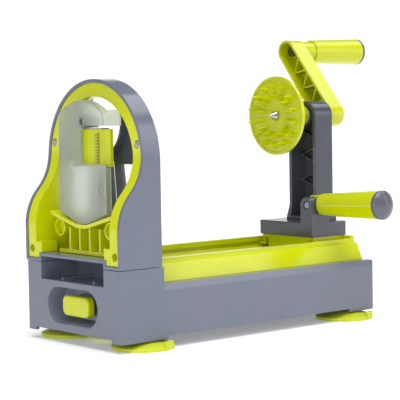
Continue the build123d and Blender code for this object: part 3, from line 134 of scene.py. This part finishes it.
def fresh_material(name: str) -> tuple[bpy.types.Material, bpy.types.NodeTree]:
    """Makes an empty node material.

    Args:
        name: what the material is called in the file.

    Returns:
        The material and its cleared node tree.
    """
    material = bpy.data.materials.new(name)
    material.use_nodes = True
    material.node_tree.nodes.clear()
    return material, material.node_tree


# ------------------------------------------------------------------ finishes


class Direction(Enum):
    """Which way a ground or drawn pattern runs, as stretch factors of the pattern."""

    ALONG_Y = (1.0, 0.04, 1.0)
    ALONG_Z = (1.0, 1.0, 0.04)


@dataclass(frozen=True)
class MouldedPlastic:
    """Injection-moulded plastic with a polished or a finely eroded mould surface.

    To the eye: an even dyed-through colour, soft highlights broken up by a faint
    ripple of the mould, and rounded edges that catch the light as thin lines. The grain
    of a real mould is too fine to show, so it is drawn as coarse as it needs to be.
    """

    name: str
    colour: str
    shade: str
    roughness: float
    edge_mm: float = 0.45
    flow_mm: float = 38.0
    flow_unevenness: float = 0.55
    flow_band: tuple[float, float] = (0.35, 0.65)
    ripple_mm: float = 5.0
    ripple_depth_mm: float = 0.005
    grain_mm: float = 0.9
    grain_depth_mm: float = 0.001
    grain_band: tuple[float, float] = (0.3, 0.7)
    glossiest: float = 0.85
    dullest: float = 1.2
    refraction: float = 1.53

    def material(self) -> bpy.types.Material:
        """Builds the node material.

        Returns:
            The finished material.
        """
        material, tree = fresh_material(self.name)
        where = add_node(tree, "ShaderNodeTexCoord").outputs["Object"]
        broad = add_node(tree, "ShaderNodeTexNoise", {
            "Vector": where, "Scale": per_mm(self.flow_mm), "Detail": CLOUDY,
            "Roughness": self.flow_unevenness})
        fine = add_node(tree, "ShaderNodeTexNoise", {
            "Vector": where, "Scale": per_mm(self.grain_mm), "Detail": PLAIN})
        ripple = add_node(tree, "ShaderNodeTexNoise", {
            "Vector": where, "Scale": per_mm(self.ripple_mm), "Detail": SMOOTH})
        # Dye and flow marks: two near shades, mixed by the broad noise
        flow = add_node(tree, "ShaderNodeMapRange", {
            "Value": broad.outputs["Fac"],
            "From Min": self.flow_band[0], "From Max": self.flow_band[1]})
        dyed = add_node(tree, "ShaderNodeMix", {
            "Factor": flow.outputs["Result"], "A": linear(self.shade), "B": linear(self.colour)},
            data_type="RGBA")
        polish = add_node(tree, "ShaderNodeMapRange", {
            "Value": fine.outputs["Fac"],
            "From Min": self.grain_band[0], "From Max": self.grain_band[1],
            "To Min": self.roughness * self.glossiest, "To Max": self.roughness * self.dullest})
        edge = add_node(tree, "ShaderNodeBevel", {"Radius": self.edge_mm * MM},
                        samples=EDGE_SAMPLES)
        rippled = add_node(tree, "ShaderNodeBump", {
            "Height": ripple.outputs["Fac"], "Normal": edge.outputs["Normal"],
            "Distance": self.ripple_depth_mm * MM, "Strength": 1.0})
        grained = add_node(tree, "ShaderNodeBump", {
            "Height": fine.outputs["Fac"], "Normal": rippled.outputs["Normal"],
            "Distance": self.grain_depth_mm * MM, "Strength": 1.0})
        shader = add_node(tree, "ShaderNodeBsdfPrincipled", {
            "Base Color": dyed.outputs[MIXED_COLOUR], "Roughness": polish.outputs["Result"],
            "Normal": grained.outputs["Normal"], "IOR": self.refraction})
        add_node(tree, "ShaderNodeOutputMaterial", {"Surface": shader.outputs["BSDF"]})
        return material


@dataclass(frozen=True)
class FrostedPolycarbonate:
    """Clear polycarbonate moulded against a blasted mould face.

    To the eye: milky and see-through, with a painted sheen: a whiter colour on rims seen edge on.
    The blasting of a real mould is too fine to show, so its grain is drawn coarser.
    """

    name: str
    colour: str
    # Paler colour mixed in where the wall is seen edge on: a painted sheen
    rim: str
    roughness: float
    clear: float
    edge_mm: float = 0.5
    painted_sheen_width: float = 0.35
    grain_mm: float = 1.2
    grain_depth_mm: float = 0.01
    glossiest: float = 0.8
    dullest: float = 1.25
    refraction: float = 1.585

    def material(self) -> bpy.types.Material:
        """Builds the node material.

        Returns:
            The finished material.
        """
        material, tree = fresh_material(self.name)
        where = add_node(tree, "ShaderNodeTexCoord").outputs["Object"]
        grain = add_node(tree, "ShaderNodeTexNoise", {
            "Vector": where, "Scale": per_mm(self.grain_mm), "Detail": PLAIN})
        # Painted sheen: the colour turns towards the rim colour as the wall is seen more edge on
        facing = add_node(tree, "ShaderNodeLayerWeight", {"Blend": self.painted_sheen_width})
        tint = add_node(tree, "ShaderNodeMix", {
            "Factor": facing.outputs["Facing"], "A": linear(self.colour), "B": linear(self.rim)},
            data_type="RGBA")
        edge = add_node(tree, "ShaderNodeBevel", {"Radius": self.edge_mm * MM},
                        samples=EDGE_SAMPLES)
        blasted = add_node(tree, "ShaderNodeBump", {
            "Height": grain.outputs["Fac"], "Normal": edge.outputs["Normal"],
            "Distance": self.grain_depth_mm * MM, "Strength": 1.0})
        uneven = add_node(tree, "ShaderNodeMapRange", {
            "Value": grain.outputs["Fac"], "To Min": self.roughness * self.glossiest,
            "To Max": self.roughness * self.dullest})
        shader = add_node(tree, "ShaderNodeBsdfPrincipled", {
            "Base Color": tint.outputs[MIXED_COLOUR], "Roughness": uneven.outputs["Result"],
            "Normal": blasted.outputs["Normal"], "IOR": self.refraction,
            "Transmission Weight": self.clear})
        add_node(tree, "ShaderNodeOutputMaterial", {"Surface": shader.outputs["BSDF"]})
        return material


@dataclass(frozen=True)
class SoftElastomer:
    """Thermoplastic elastomer of a suction cup, moulded.

    To the eye: the same lime, but duller and a little see-through at thin rims, with
    a velvety sheen instead of sharp highlights. The skin's texture is drawn coarser than
    it is, because the real one is too fine to show.
    """

    name: str
    colour: str
    shade: str
    roughness: float = 0.5
    edge_mm: float = 0.8
    cloud_mm: float = 14.0
    skin_mm: float = 0.8
    skin_depth_mm: float = 0.02
    inner_glow: float = 0.35
    glow_reach: tuple[float, float, float] = (0.7, 0.8, 0.1)
    glow_mm: float = 4.0
    velvet: float = 0.1
    refraction: float = 1.5

    def material(self) -> bpy.types.Material:
        """Builds the node material.

        Returns:
            The finished material.
        """
        material, tree = fresh_material(self.name)
        where = add_node(tree, "ShaderNodeTexCoord").outputs["Object"]
        cloud = add_node(tree, "ShaderNodeTexNoise", {
            "Vector": where, "Scale": per_mm(self.cloud_mm), "Detail": CLOUDY})
        skin = add_node(tree, "ShaderNodeTexNoise", {
            "Vector": where, "Scale": per_mm(self.skin_mm), "Detail": CLOUDY})
        dyed = add_node(tree, "ShaderNodeMix", {
            "Factor": cloud.outputs["Fac"], "A": linear(self.shade), "B": linear(self.colour)},
            data_type="RGBA")
        edge = add_node(tree, "ShaderNodeBevel", {"Radius": self.edge_mm * MM},
                        samples=EDGE_SAMPLES)
        matt = add_node(tree, "ShaderNodeBump", {
            "Height": skin.outputs["Fac"], "Normal": edge.outputs["Normal"],
            "Distance": self.skin_depth_mm * MM, "Strength": 1.0})
        shader = add_node(tree, "ShaderNodeBsdfPrincipled", {
            "Base Color": dyed.outputs[MIXED_COLOUR], "Roughness": self.roughness,
            "Normal": matt.outputs["Normal"], "IOR": self.refraction,
            "Subsurface Weight": self.inner_glow, "Subsurface Radius": self.glow_reach,
            "Subsurface Scale": self.glow_mm * MM, "Sheen Weight": self.velvet})
        add_node(tree, "ShaderNodeOutputMaterial", {"Surface": shader.outputs["BSDF"]})
        return material


@dataclass(frozen=True)
class WorkedSteel:
    """Stainless or plated steel whose surface was ground, drawn or turned.

    To the eye: bright grey metal with fine lines along the working direction, so that
    its reflections are drawn out across them. Real lines are finer than can show, so
    they are drawn this coarse.
    """

    name: str
    colour: str
    dull: str
    roughness: float
    lines: Direction
    edge_mm: float = 0.25
    line_mm: float = 0.35
    line_depth_mm: float = 0.006
    stain_mm: float = 9.0
    glossiest: float = 0.7
    dullest: float = 1.3

    def material(self) -> bpy.types.Material:
        """Builds the node material.

        Returns:
            The finished material.
        """
        material, tree = fresh_material(self.name)
        where = add_node(tree, "ShaderNodeTexCoord").outputs["Object"]
        drawn = add_node(tree, "ShaderNodeVectorMath", {0: where, 1: self.lines.value},
                         operation="MULTIPLY")
        strokes = add_node(tree, "ShaderNodeTexNoise", {
            "Vector": drawn.outputs["Vector"], "Scale": per_mm(self.line_mm), "Detail": PLAIN})
        stains = add_node(tree, "ShaderNodeTexNoise", {
            "Vector": where, "Scale": per_mm(self.stain_mm), "Detail": CLOUDY})
        tint = add_node(tree, "ShaderNodeMix", {
            "Factor": stains.outputs["Fac"], "A": linear(self.dull), "B": linear(self.colour)},
            data_type="RGBA")
        edge = add_node(tree, "ShaderNodeBevel", {"Radius": self.edge_mm * MM},
                        samples=EDGE_SAMPLES)
        scored = add_node(tree, "ShaderNodeBump", {
            "Height": strokes.outputs["Fac"], "Normal": edge.outputs["Normal"],
            "Distance": self.line_depth_mm * MM, "Strength": 1.0})
        worn = add_node(tree, "ShaderNodeMapRange", {
            "Value": strokes.outputs["Fac"], "To Min": self.roughness * self.glossiest,
            "To Max": self.roughness * self.dullest})
        shader = add_node(tree, "ShaderNodeBsdfPrincipled", {
            "Base Color": tint.outputs[MIXED_COLOUR], "Metallic": 1.0,
            "Roughness": worn.outputs["Result"], "Normal": scored.outputs["Normal"]})
        add_node(tree, "ShaderNodeOutputMaterial", {"Surface": shader.outputs["BSDF"]})
        return material


Finish = MouldedPlastic | FrostedPolycarbonate | SoftElastomer | WorkedSteel

# Base and arch: a cool mid grey with a clear sheen and bright thin lines at its round edges
GREY_SHELL = MouldedPlastic(
    "grey_abs_polished", colour="#6D7181", shade="#697080", roughness=0.16, edge_mm=0.9)

# Rear frame, carriage and column: a darker grey, a little less glossy
DARK_GREY = MouldedPlastic(
    "dark_grey_abs_moulded", colour="#4B4D5A", shade="#474956", roughness=0.18, edge_mm=0.8)

# Trim, tray, disc, crank and handles: a strong yellow-green with small sharp highlights
LIME = MouldedPlastic(
    "lime_abs_polished", colour="#C9D100", shade="#C4CC00", roughness=0.16, edge_mm=0.6)

# Feet and pad: a lime that is paler and softer, as if lit a little from inside
LIME_SOFT = SoftElastomer("lime_elastomer_moulded", colour="#CDD80E", shade="#C2CC04")

# Handle caps: a grey darker than the shell's, with broader and weaker highlights
CAP_GREY = MouldedPlastic(
    "grey_cap_moulded", colour="#5F5F6B", shade="#5B5B67", roughness=0.25)

# Blade cartridge: milky, so that what stands behind it shows as a soft shape; its rim colour is a
# painted sheen
FROSTED = FrostedPolycarbonate(
    "frosted_polycarbonate", colour="#DDE5D6", rim="#F2F5EE", roughness=0.3, clear=0.85)

# Bushes: a waxy off-white
ACETAL = MouldedPlastic(
    "white_acetal_turned", colour="#D9D9D4", shade="#D0D0CA", roughness=0.3)

# Blades and ring: bright, with reflections drawn out by the grinding lines
BLADE_STEEL = WorkedSteel(
    "ground_stainless_blade", colour="#C9CBCE", dull="#B9BBBF", roughness=0.2,
    lines=Direction.ALONG_Y)

# Spindle: bright, with faint lines across it, as a lathe leaves them
SHAFT_STEEL = WorkedSteel(
    "turned_stainless_shaft", colour="#BFC1C4", dull="#AFB1B5", roughness=0.25,
    lines=Direction.ALONG_Z)

# Axle of the crank's handle: brownish and dull under its oil
OILED_STEEL = WorkedSteel(
    "oiled_steel_axle", colour="#6C6A50", dull="#55533C", roughness=0.4,
    lines=Direction.ALONG_Y)

# Screws and pin: plated, a little greyer and blurrier than the blades
ZINC_STEEL = WorkedSteel(
    "zinc_plated_screw", colour="#C4C6CA", dull="#A9ABB0", roughness=0.3,
    lines=Direction.ALONG_Z, line_mm=0.8)


class Palette:
    """Builds each finish once and hands the same material out again."""

    def __init__(self) -> None:
        """Starts with no material built."""
        self._built: dict[str, bpy.types.Material] = {}

    def get(self, finish: Finish) -> bpy.types.Material:
        """Returns the material of a finish, building it the first time.

        Args:
            finish: the finish wanted.

        Returns:
            Its material.
        """
        if finish.name not in self._built:
            self._built[finish.name] = finish.material()
        return self._built[finish.name]


# ------------------------------------------------------------------ reading the frame


def body_of(name: str, bodies: dict[str, list[str]]) -> str:
    """Finds the body that a CAD node belongs to.

    Args:
        name: the CAD node.
        bodies: the record's bodies with the names of their nodes.

    Returns:
        The body's name.
    """
    return next(body for body, members in bodies.items() if name in members)


def loose_parts(node: bpy.types.Object) -> list[list[Vector]]:
    """Splits a CAD node's mesh into its separate solids.

    Args:
        node: the CAD node's object.

    Returns:
        The points of each solid.
    """
    shape = bmesh.new()
    shape.from_mesh(node.data)
    bmesh.ops.remove_doubles(shape, verts=shape.verts, dist=SAME_POINT_MM * MM)
    left = set(shape.verts)
    solids = []
    for start in list(shape.verts):
        if start not in left:
            continue
        left.discard(start)
        solid = [start]
        waiting = [start]
        while waiting:
            here = waiting.pop()
            for edge in here.link_edges:
                other = edge.other_vert(here)
                if other in left:
                    left.discard(other)
                    solid.append(other)
                    waiting.append(other)
        solids.append([vert.co.copy() for vert in solid])
    shape.free()
    return solids


@dataclass(frozen=True)
class PlainScrew:
    """Place and sizes of one plain CAD screw.

    The place turns the screw's own frame, with +Z out of its head and the head's top at
    zero, into the model's frame.
    """

    place: Matrix
    head: float
    head_height: float
    shank: float
    length: float


def measured_screw(points: list[Vector]) -> PlainScrew:
    """Measures a plain screw, which is longest along its axis and widest at its head.

    Args:
        points: corner points of the plain screw.

    Returns:
        Its place, the radii of head and shank, the head's height and the whole length.
    """
    low = Vector(min(p[i] for p in points) for i in range(3))
    high = Vector(max(p[i] for p in points) for i in range(3))
    middle = (low + high) / 2
    lengths = high - low
    along = max(range(3), key=lambda i: lengths[i])
    axis = Vector((0.0, 0.0, 0.0))
    axis[along] = 1.0
    reach = [(p - middle).dot(axis) for p in points]
    out = [((p - middle) - axis * r).length for p, r in zip(points, reach)]
    top = max(reach)
    near = SAME_FACE_MM * MM
    at_top = max(o for o, r in zip(out, reach) if r > top - near)
    at_foot = max(o for o, r in zip(out, reach) if r < -top + near)
    if at_foot > at_top:
        axis = -axis
        reach = [-r for r in reach]
    head = max(out)
    head_height = top - min(r for o, r in zip(out, reach) if o > head - near)
    turn = axis.to_track_quat("Z", "Y").to_matrix().to_4x4()
    place = Matrix.Translation(middle + axis * top) @ turn
    return PlainScrew(place, head, head_height, min(at_top, at_foot), 2 * top)


# ------------------------------------------------------------------ dressing


@dataclass
class Part:
    """Common work of every sub-assembly: dressing its CAD pieces."""

    nodes: dict[str, bpy.types.Object]
    palette: Palette

    def dress(self, finish: Finish, *names: str) -> None:
        """Gives CAD pieces their finish.

        Args:
            finish: the finish.
            *names: CAD node names.
        """
        material = self.palette.get(finish)
        for name in names:
            piece = self.nodes[name]
            piece.data.materials.clear()
            piece.data.materials.append(material)
            for face in piece.data.polygons:
                face.material_index = 0
            LOG.info("dressed %s in %s", name, finish.name)


@dataclass
class BaseUnit(Part):
    """Long base with its cover, tray, feet and the parts in its front."""

    def dress_all(self) -> None:
        """Dresses every piece of the base."""
        self.dress(GREY_SHELL, "base_housing", "bottom_cover")
        self.dress(LIME, "slide_tray", "lock_pull")
        self.dress(LIME_SOFT, "foot_front_near", "foot_front_far", "foot_rear_near",
                   "foot_rear_far", "suction_pad")
        self.dress(ZINC_STEEL, "pad_pin")


@dataclass
class BladeArch(Part):
    """Arch shell, its lime trim, the plate behind and the sill under the cartridge."""

    def dress_all(self) -> None:
        """Dresses every piece of the arch."""
        self.dress(GREY_SHELL, "arch_housing")
        self.dress(DARK_GREY, "rear_frame")
        self.dress(LIME, "arch_trim", "cartridge_seat")


@dataclass
class BladeCartridge(Part):
    """Lift-out blade holder."""

    def dress_all(self) -> None:
        """Dresses every piece of the cartridge."""
        self.dress(FROSTED, "cartridge_frame")
        self.dress(LIME, "blade_insert")
        self.dress(BLADE_STEEL, "slicing_blade", "comb_blade", "coring_ring")


@dataclass
class Carriage(Part):
    """Sliding carriage and the column that holds the spindle."""

    def dress_all(self) -> None:
        """Dresses every piece of the carriage."""
        self.dress(DARK_GREY, "carriage_base", "column")
        self.dress(LIME, "carriage_runner")
        self.dress(ACETAL, "front_bush", "rear_bush")


@dataclass
class CrankDrive(Part):
    """Spiked disc, shaft, crank arm and its turning grip."""

    def dress_all(self) -> None:
        """Dresses every piece that turns."""
        self.dress(LIME, "spiked_disc", "crank_arm", "crank_grip")
        self.dress(SHAFT_STEEL, "spindle_shaft")
        self.dress(OILED_STEEL, "grip_axle")
        self.dress(CAP_GREY, "crank_grip_cap")


@dataclass
class PushHandle(Part):
    """Fold-up handle on the side of the carriage."""

    def dress_all(self) -> None:
        """Dresses the handle and its cap."""
        self.dress(LIME, "push_handle")
        self.dress(CAP_GREY, "push_handle_cap")


@dataclass
class CrossHeadScrews(Part):
    """Pan-head screws with a cross recess and a coarse thread for plastic."""

    bodies: dict[str, list[str]]
    sides: int = 28
    head_round_mm: float = 0.8
    head_arc: tuple[int, ...] = (30, 60, 90)
    recess_length_mm: float = 1.75
    recess_half_width_mm: float = 0.42
    recess_depth_mm: float = 1.1
    recess_taper: float = 0.55
    thread_pitch_mm: float = 1.3
    thread_depth_mm: float = 0.35
    point_length_mm: float = 1.2
    point_taper: float = 0.8

    def build_all(self) -> None:
        """Replaces every plain screw node by detailed screws at the same places."""
        for name in sorted(self.nodes):
            if name.endswith(("_screw", "_screws")):
                self._replace(name)

    def _replace(self, name: str) -> None:
        """Builds one piece that holds all the screws of a node.

        Args:
            name: the CAD node.
        """
        shape = bmesh.new()
        for points in loose_parts(self.nodes[name]):
            self._screw(shape, measured_screw(points))
        mesh = bpy.data.meshes.new(f"{name}_threaded")
        bmesh.ops.recalc_face_normals(shape, faces=shape.faces)
        shape.to_mesh(mesh)
        shape.free()
        piece = bpy.data.objects.new(mesh.name, mesh)
        bpy.context.scene.collection.objects.link(piece)
        mesh.materials.append(self.palette.get(ZINC_STEEL))
        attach(piece, body_of(name, self.bodies))
        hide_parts(name)
        LOG.info("built %s", piece.name)

    def _profile(self, screw: PlainScrew) -> list[tuple[float, float]]:
        """Draws half a screw's outline, from the rim of its head's top down to its point.

        Args:
            screw: the plain screw.

        Returns:
            Radius and height of each ring of points.
        """
        rounding = self.head_round_mm * MM
        pitch = self.thread_pitch_mm * MM
        groove = screw.shank - self.thread_depth_mm * MM
        point_top = -screw.length + self.point_length_mm * MM
        outline = [(screw.head - rounding, 0.0)]
        for degrees in self.head_arc:
            inward = rounding * (1 - math.sin(math.radians(degrees)))
            down = rounding * (1 - math.cos(math.radians(degrees)))
            outline.append((screw.head - inward, -down))
        outline.append((screw.head, -screw.head_height))
        outline.append((screw.shank, -screw.head_height))
        height = -screw.head_height - pitch / 2
        while height > point_top + pitch:
            outline.append((groove, height))
            outline.append((screw.shank, height - pitch / 2))
            height -= pitch
        outline.append((screw.shank * self.point_taper, point_top))
        return outline

    def _ring(self, shape: bmesh.types.BMesh, place: Matrix, radius: float,
              height: float) -> list[bmesh.types.BMVert]:
        """Adds one ring of points round a screw's axis.

        Args:
            shape: the mesh under construction.
            place: from the screw's own frame to the model's frame.
            radius: the ring's radius.
            height: its height over the head's top.

        Returns:
            The ring's points in order.
        """
        ring = []
        for k in range(self.sides):
            angle = 2 * math.pi * k / self.sides
            spot = Vector((radius * math.cos(angle), radius * math.sin(angle), height))
            ring.append(shape.verts.new(place @ spot))
        return ring

    def _screw(self, shape: bmesh.types.BMesh, screw: PlainScrew) -> None:
        """Turns head, thread and point, and presses the cross into the head.

        Args:
            shape: the mesh under construction.
            screw: the plain screw whose place it takes.
        """
        rings = [self._ring(shape, screw.place, radius, height)
                 for radius, height in self._profile(screw)]
        for upper, lower in zip(rings, rings[1:]):
            for k in range(self.sides):
                after = (k + 1) % self.sides
                shape.faces.new((upper[k], lower[k], lower[after], upper[after])).smooth = True
        tip = shape.verts.new(screw.place @ Vector((0.0, 0.0, -screw.length)))
        for k in range(self.sides):
            shape.faces.new((rings[-1][k], tip, rings[-1][(k + 1) % self.sides]))
        self._cross(shape, screw.place, rings[0])

    def _cross(self, shape: bmesh.types.BMesh, place: Matrix, rim: list[bmesh.types.BMVert]) -> None:
        """Closes the head's top around a tapered cross recess.

        Args:
            shape: the mesh under construction.
            place: from the screw's own frame to the model's frame.
            rim: ring of points at the edge of the head's top.
        """
        reach = self.recess_length_mm * MM
        half = self.recess_half_width_mm * MM
        deep = -self.recess_depth_mm * MM
        taper = self.recess_taper
        quarter = [(reach, -half), (reach, half), (half, half)]
        outline = []
        for turn in range(4):
            cosine = round(math.cos(turn * math.pi / 2))
            sine = round(math.sin(turn * math.pi / 2))
            outline += [(cosine * x - sine * y, sine * x + cosine * y) for x, y in quarter]
        upper = [shape.verts.new(place @ Vector((x, y, 0.0))) for x, y in outline]
        lower = [shape.verts.new(place @ Vector((x * taper, y * taper, deep))) for x, y in outline]
        edges = []
        for loop in (rim, upper):
            for k, vert in enumerate(loop):
                pair = (vert, loop[(k + 1) % len(loop)])
                edges.append(shape.edges.get(pair) or shape.edges.new(pair))
        bmesh.ops.triangle_fill(shape, edges=edges, use_beauty=True)
        count = len(outline)
        for k in range(count):
            after = (k + 1) % count
            shape.faces.new((upper[k], upper[after], lower[after], lower[k]))
        shape.faces.new(lower)


# ------------------------------------------------------------------ studio


@dataclass(frozen=True)
class SoftBox:
    """One large soft studio lamp aimed at the object."""

    name: str
    place: tuple[float, float, float]
    target: tuple[float, float, float]
    width: float
    height: float
    watts: float


@dataclass(frozen=True)
class Studio:
    """Pale seamless floor, soft light and the camera at the photograph's angle."""

    eye: tuple[float, float, float] = (-0.79178, -0.94825, 0.18918)
    azimuth: float = -39.69
    elevation: float = 3.94
    roll: float = -1.0
    focal_pixels: float = 1515.98
    frame_pixels: float = 400.0
    sensor_mm: float = 36.0
    nearest: float = 0.05
    farthest: float = 50.0
    # The floor: white paper with a faint fibre, lifted to white by a little glow
    floor_half: float = 60.0
    paper_shade: str = "#F6F6F7"
    paper_colour: str = "#FAFAFA"
    paper_glow: str = "#FFFFFF"
    fibre_mm: float = 3.0
    paper_roughness: float = 0.6
    paper_shine: float = 0.3
    floor_glow: float = 0.22
    # The room's light: its wall and its dark side are placed by the height and the depth
    # of a unit direction out of the middle
    room_glow: float = 0.24
    wall_glow: float = 1.1
    dark_glow: float = 0.14
    wall_top: float = 0.25
    wall_fade: float = 0.2
    wall_band: tuple[float, float] = (0.35, 0.75)
    dark_band: tuple[float, float] = (-0.9, -0.3)
    # The main light, wide and even
    key_from: tuple[float, float, float] = (-0.12, -0.3, 1.0)
    key_spread: float = 46.0
    key_strength: float = 2.35
    # The soft boxes that put highlights on the edges
    lamps: tuple[SoftBox, ...] = (
        SoftBox("strip_right", place=(1.1, -1.2, 0.75), target=(0.05, 0.0, 0.12),
                width=0.5, height=1.2, watts=4.0),
        SoftBox("overhead_right", place=(0.75, -0.1, 1.2), target=(-0.05, 0.0, 0.15),
                width=0.7, height=0.7, watts=3.6),
        SoftBox("front_left", place=(-1.3, -0.75, 0.45), target=(-0.05, 0.0, 0.14),
                width=0.7, height=0.5, watts=6.0),
        SoftBox("edge_strip", place=(-1.25, -1.25, 0.3), target=(0.0, 0.0, 0.14),
                width=0.12, height=0.7, watts=1.6),
    )

    def build(self) -> None:
        """Builds the floor, the room, the lamps and the camera."""
        self._floor()
        self._room()
        self._key()
        for lamp in self.lamps:
            self._lamp(lamp)
        self._camera()
        scene = bpy.context.scene
        scene.view_settings.view_transform = "Standard"
        scene.view_settings.look = "None"

    def _key(self) -> None:
        """Hangs the main light: a wide, even one, so that the whole sweep stays white."""
        light = bpy.data.lights.new("key", "SUN")
        light.angle = math.radians(self.key_spread)
        light.energy = self.key_strength
        holder = bpy.data.objects.new("key", light)
        holder.rotation_euler = (-Vector(self.key_from)).to_track_quat("-Z", "Y").to_euler()
        bpy.context.scene.collection.objects.link(holder)

    def _floor(self) -> None:
        """Lays the white paper sweep that the object stands on."""
        half = self.floor_half
        mesh = bpy.data.meshes.new("paper_floor")
        corners = [(-half, -half, 0), (half, -half, 0), (half, half, 0), (-half, half, 0)]
        mesh.from_pydata(corners, [], [(0, 1, 2, 3)])
        floor = bpy.data.objects.new("paper_floor", mesh)
        bpy.context.scene.collection.objects.link(floor)
        material, tree = fresh_material("white_paper_matt")
        where = add_node(tree, "ShaderNodeTexCoord").outputs["Object"]
        fibre = add_node(tree, "ShaderNodeTexNoise", {
            "Vector": where, "Scale": per_mm(self.fibre_mm), "Detail": PLAIN})
        white = add_node(tree, "ShaderNodeMix", {
            "Factor": fibre.outputs["Fac"], "A": linear(self.paper_shade),
            "B": linear(self.paper_colour)},
            data_type="RGBA")
        shader = add_node(tree, "ShaderNodeBsdfPrincipled", {
            "Base Color": white.outputs[MIXED_COLOUR], "Roughness": self.paper_roughness,
            "Specular IOR Level": self.paper_shine,
            "Emission Color": linear(self.paper_glow), "Emission Strength": self.floor_glow})
        add_node(tree, "ShaderNodeOutputMaterial", {"Surface": shader.outputs["BSDF"]})
        mesh.materials.append(material)

    def _room(self) -> None:
        """Lights the scene from all round: a white wall behind, a dark side by the camera."""
        world = bpy.data.worlds.new("white_room")
        world.use_nodes = True
        tree = world.node_tree
        tree.nodes.clear()
        turn = math.radians(self.azimuth)
        ahead = (-math.sin(turn), math.cos(turn), 0.0)
        where = add_node(tree, "ShaderNodeTexCoord").outputs["Generated"]
        height = add_node(tree, "ShaderNodeSeparateXYZ", {"Vector": where}).outputs["Z"]
        depth = add_node(tree, "ShaderNodeVectorMath", {0: where, 1: ahead},
                         operation="DOT_PRODUCT").outputs["Value"]
        low = add_node(tree, "ShaderNodeMapRange", {
            "Value": height, "From Min": self.wall_top, "From Max": self.wall_top + self.wall_fade,
            "To Min": 1.0, "To Max": 0.0}).outputs["Result"]
        behind = add_node(tree, "ShaderNodeMapRange", {
            "Value": depth, "From Min": self.wall_band[0],
            "From Max": self.wall_band[1]}).outputs["Result"]
        wall = add_node(tree, "ShaderNodeMath", {0: low, 1: behind}, operation="MULTIPLY")
        level = add_node(tree, "ShaderNodeMapRange", {
            "Value": depth, "From Min": self.dark_band[0], "From Max": self.dark_band[1],
            "To Min": self.dark_glow, "To Max": self.room_glow}).outputs["Result"]
        mixed = add_node(tree, "ShaderNodeMix", {
            "Factor": wall.outputs["Value"], "A": level, "B": self.wall_glow}, data_type="FLOAT")
        glow = add_node(tree, "ShaderNodeBackground", {
            "Color": (1.0, 1.0, 1.0, 1.0), "Strength": mixed.outputs[0]})
        add_node(tree, "ShaderNodeOutputWorld", {"Surface": glow.outputs["Background"]})
        bpy.context.scene.world = world

    def _lamp(self, lamp: SoftBox) -> None:
        """Hangs one soft box.

        Args:
            lamp: its place, aim, size and power.
        """
        light = bpy.data.lights.new(lamp.name, "AREA")
        light.shape = "RECTANGLE"
        light.size = lamp.width
        light.size_y = lamp.height
        light.energy = lamp.watts
        holder = bpy.data.objects.new(lamp.name, light)
        holder.location = lamp.place
        aim = Vector(lamp.target) - Vector(lamp.place)
        holder.rotation_euler = aim.to_track_quat("-Z", "Y").to_euler()
        bpy.context.scene.collection.objects.link(holder)

    def _camera(self) -> None:
        """Stands the camera where the photograph was taken from."""
        turn = math.radians(self.azimuth)
        lift = math.radians(self.elevation)
        roll = math.radians(self.roll)
        back = Vector((math.sin(turn) * math.cos(lift), -math.cos(turn) * math.cos(lift),
                       math.sin(lift)))
        level = Vector((0, 0, 1)).cross(back).normalized()
        upright = back.cross(level)
        right = level * math.cos(roll) + upright * math.sin(roll)
        up = upright * math.cos(roll) - level * math.sin(roll)
        data = bpy.data.cameras.new("studio_camera")
        data.sensor_width = self.sensor_mm
        data.lens = self.focal_pixels / self.frame_pixels * self.sensor_mm
        data.clip_start = self.nearest
        data.clip_end = self.farthest
        camera = bpy.data.objects.new("studio_camera", data)
        pose = Matrix((right, up, back)).transposed().to_4x4()
        camera.matrix_world = Matrix.Translation(Vector(self.eye)) @ pose
        bpy.context.scene.collection.objects.link(camera)
        bpy.context.scene.camera = camera


# ------------------------------------------------------------------ the whole object


def main() -> None:
    """Loads the model, sets up the studio and dresses each sub-assembly in turn."""
    logging.basicConfig(level=logging.INFO, format="%(name)s: %(message)s")
    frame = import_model()
    nodes = frame["nodes"]
    palette = Palette()
    Studio().build()
    for part in (BaseUnit, BladeArch, BladeCartridge, Carriage, CrankDrive, PushHandle):
        part(nodes, palette).dress_all()
    CrossHeadScrews(nodes, palette, frame["record"]["behaviour"]["bodies"]).build_all()


if __name__ == "__main__":
    main()
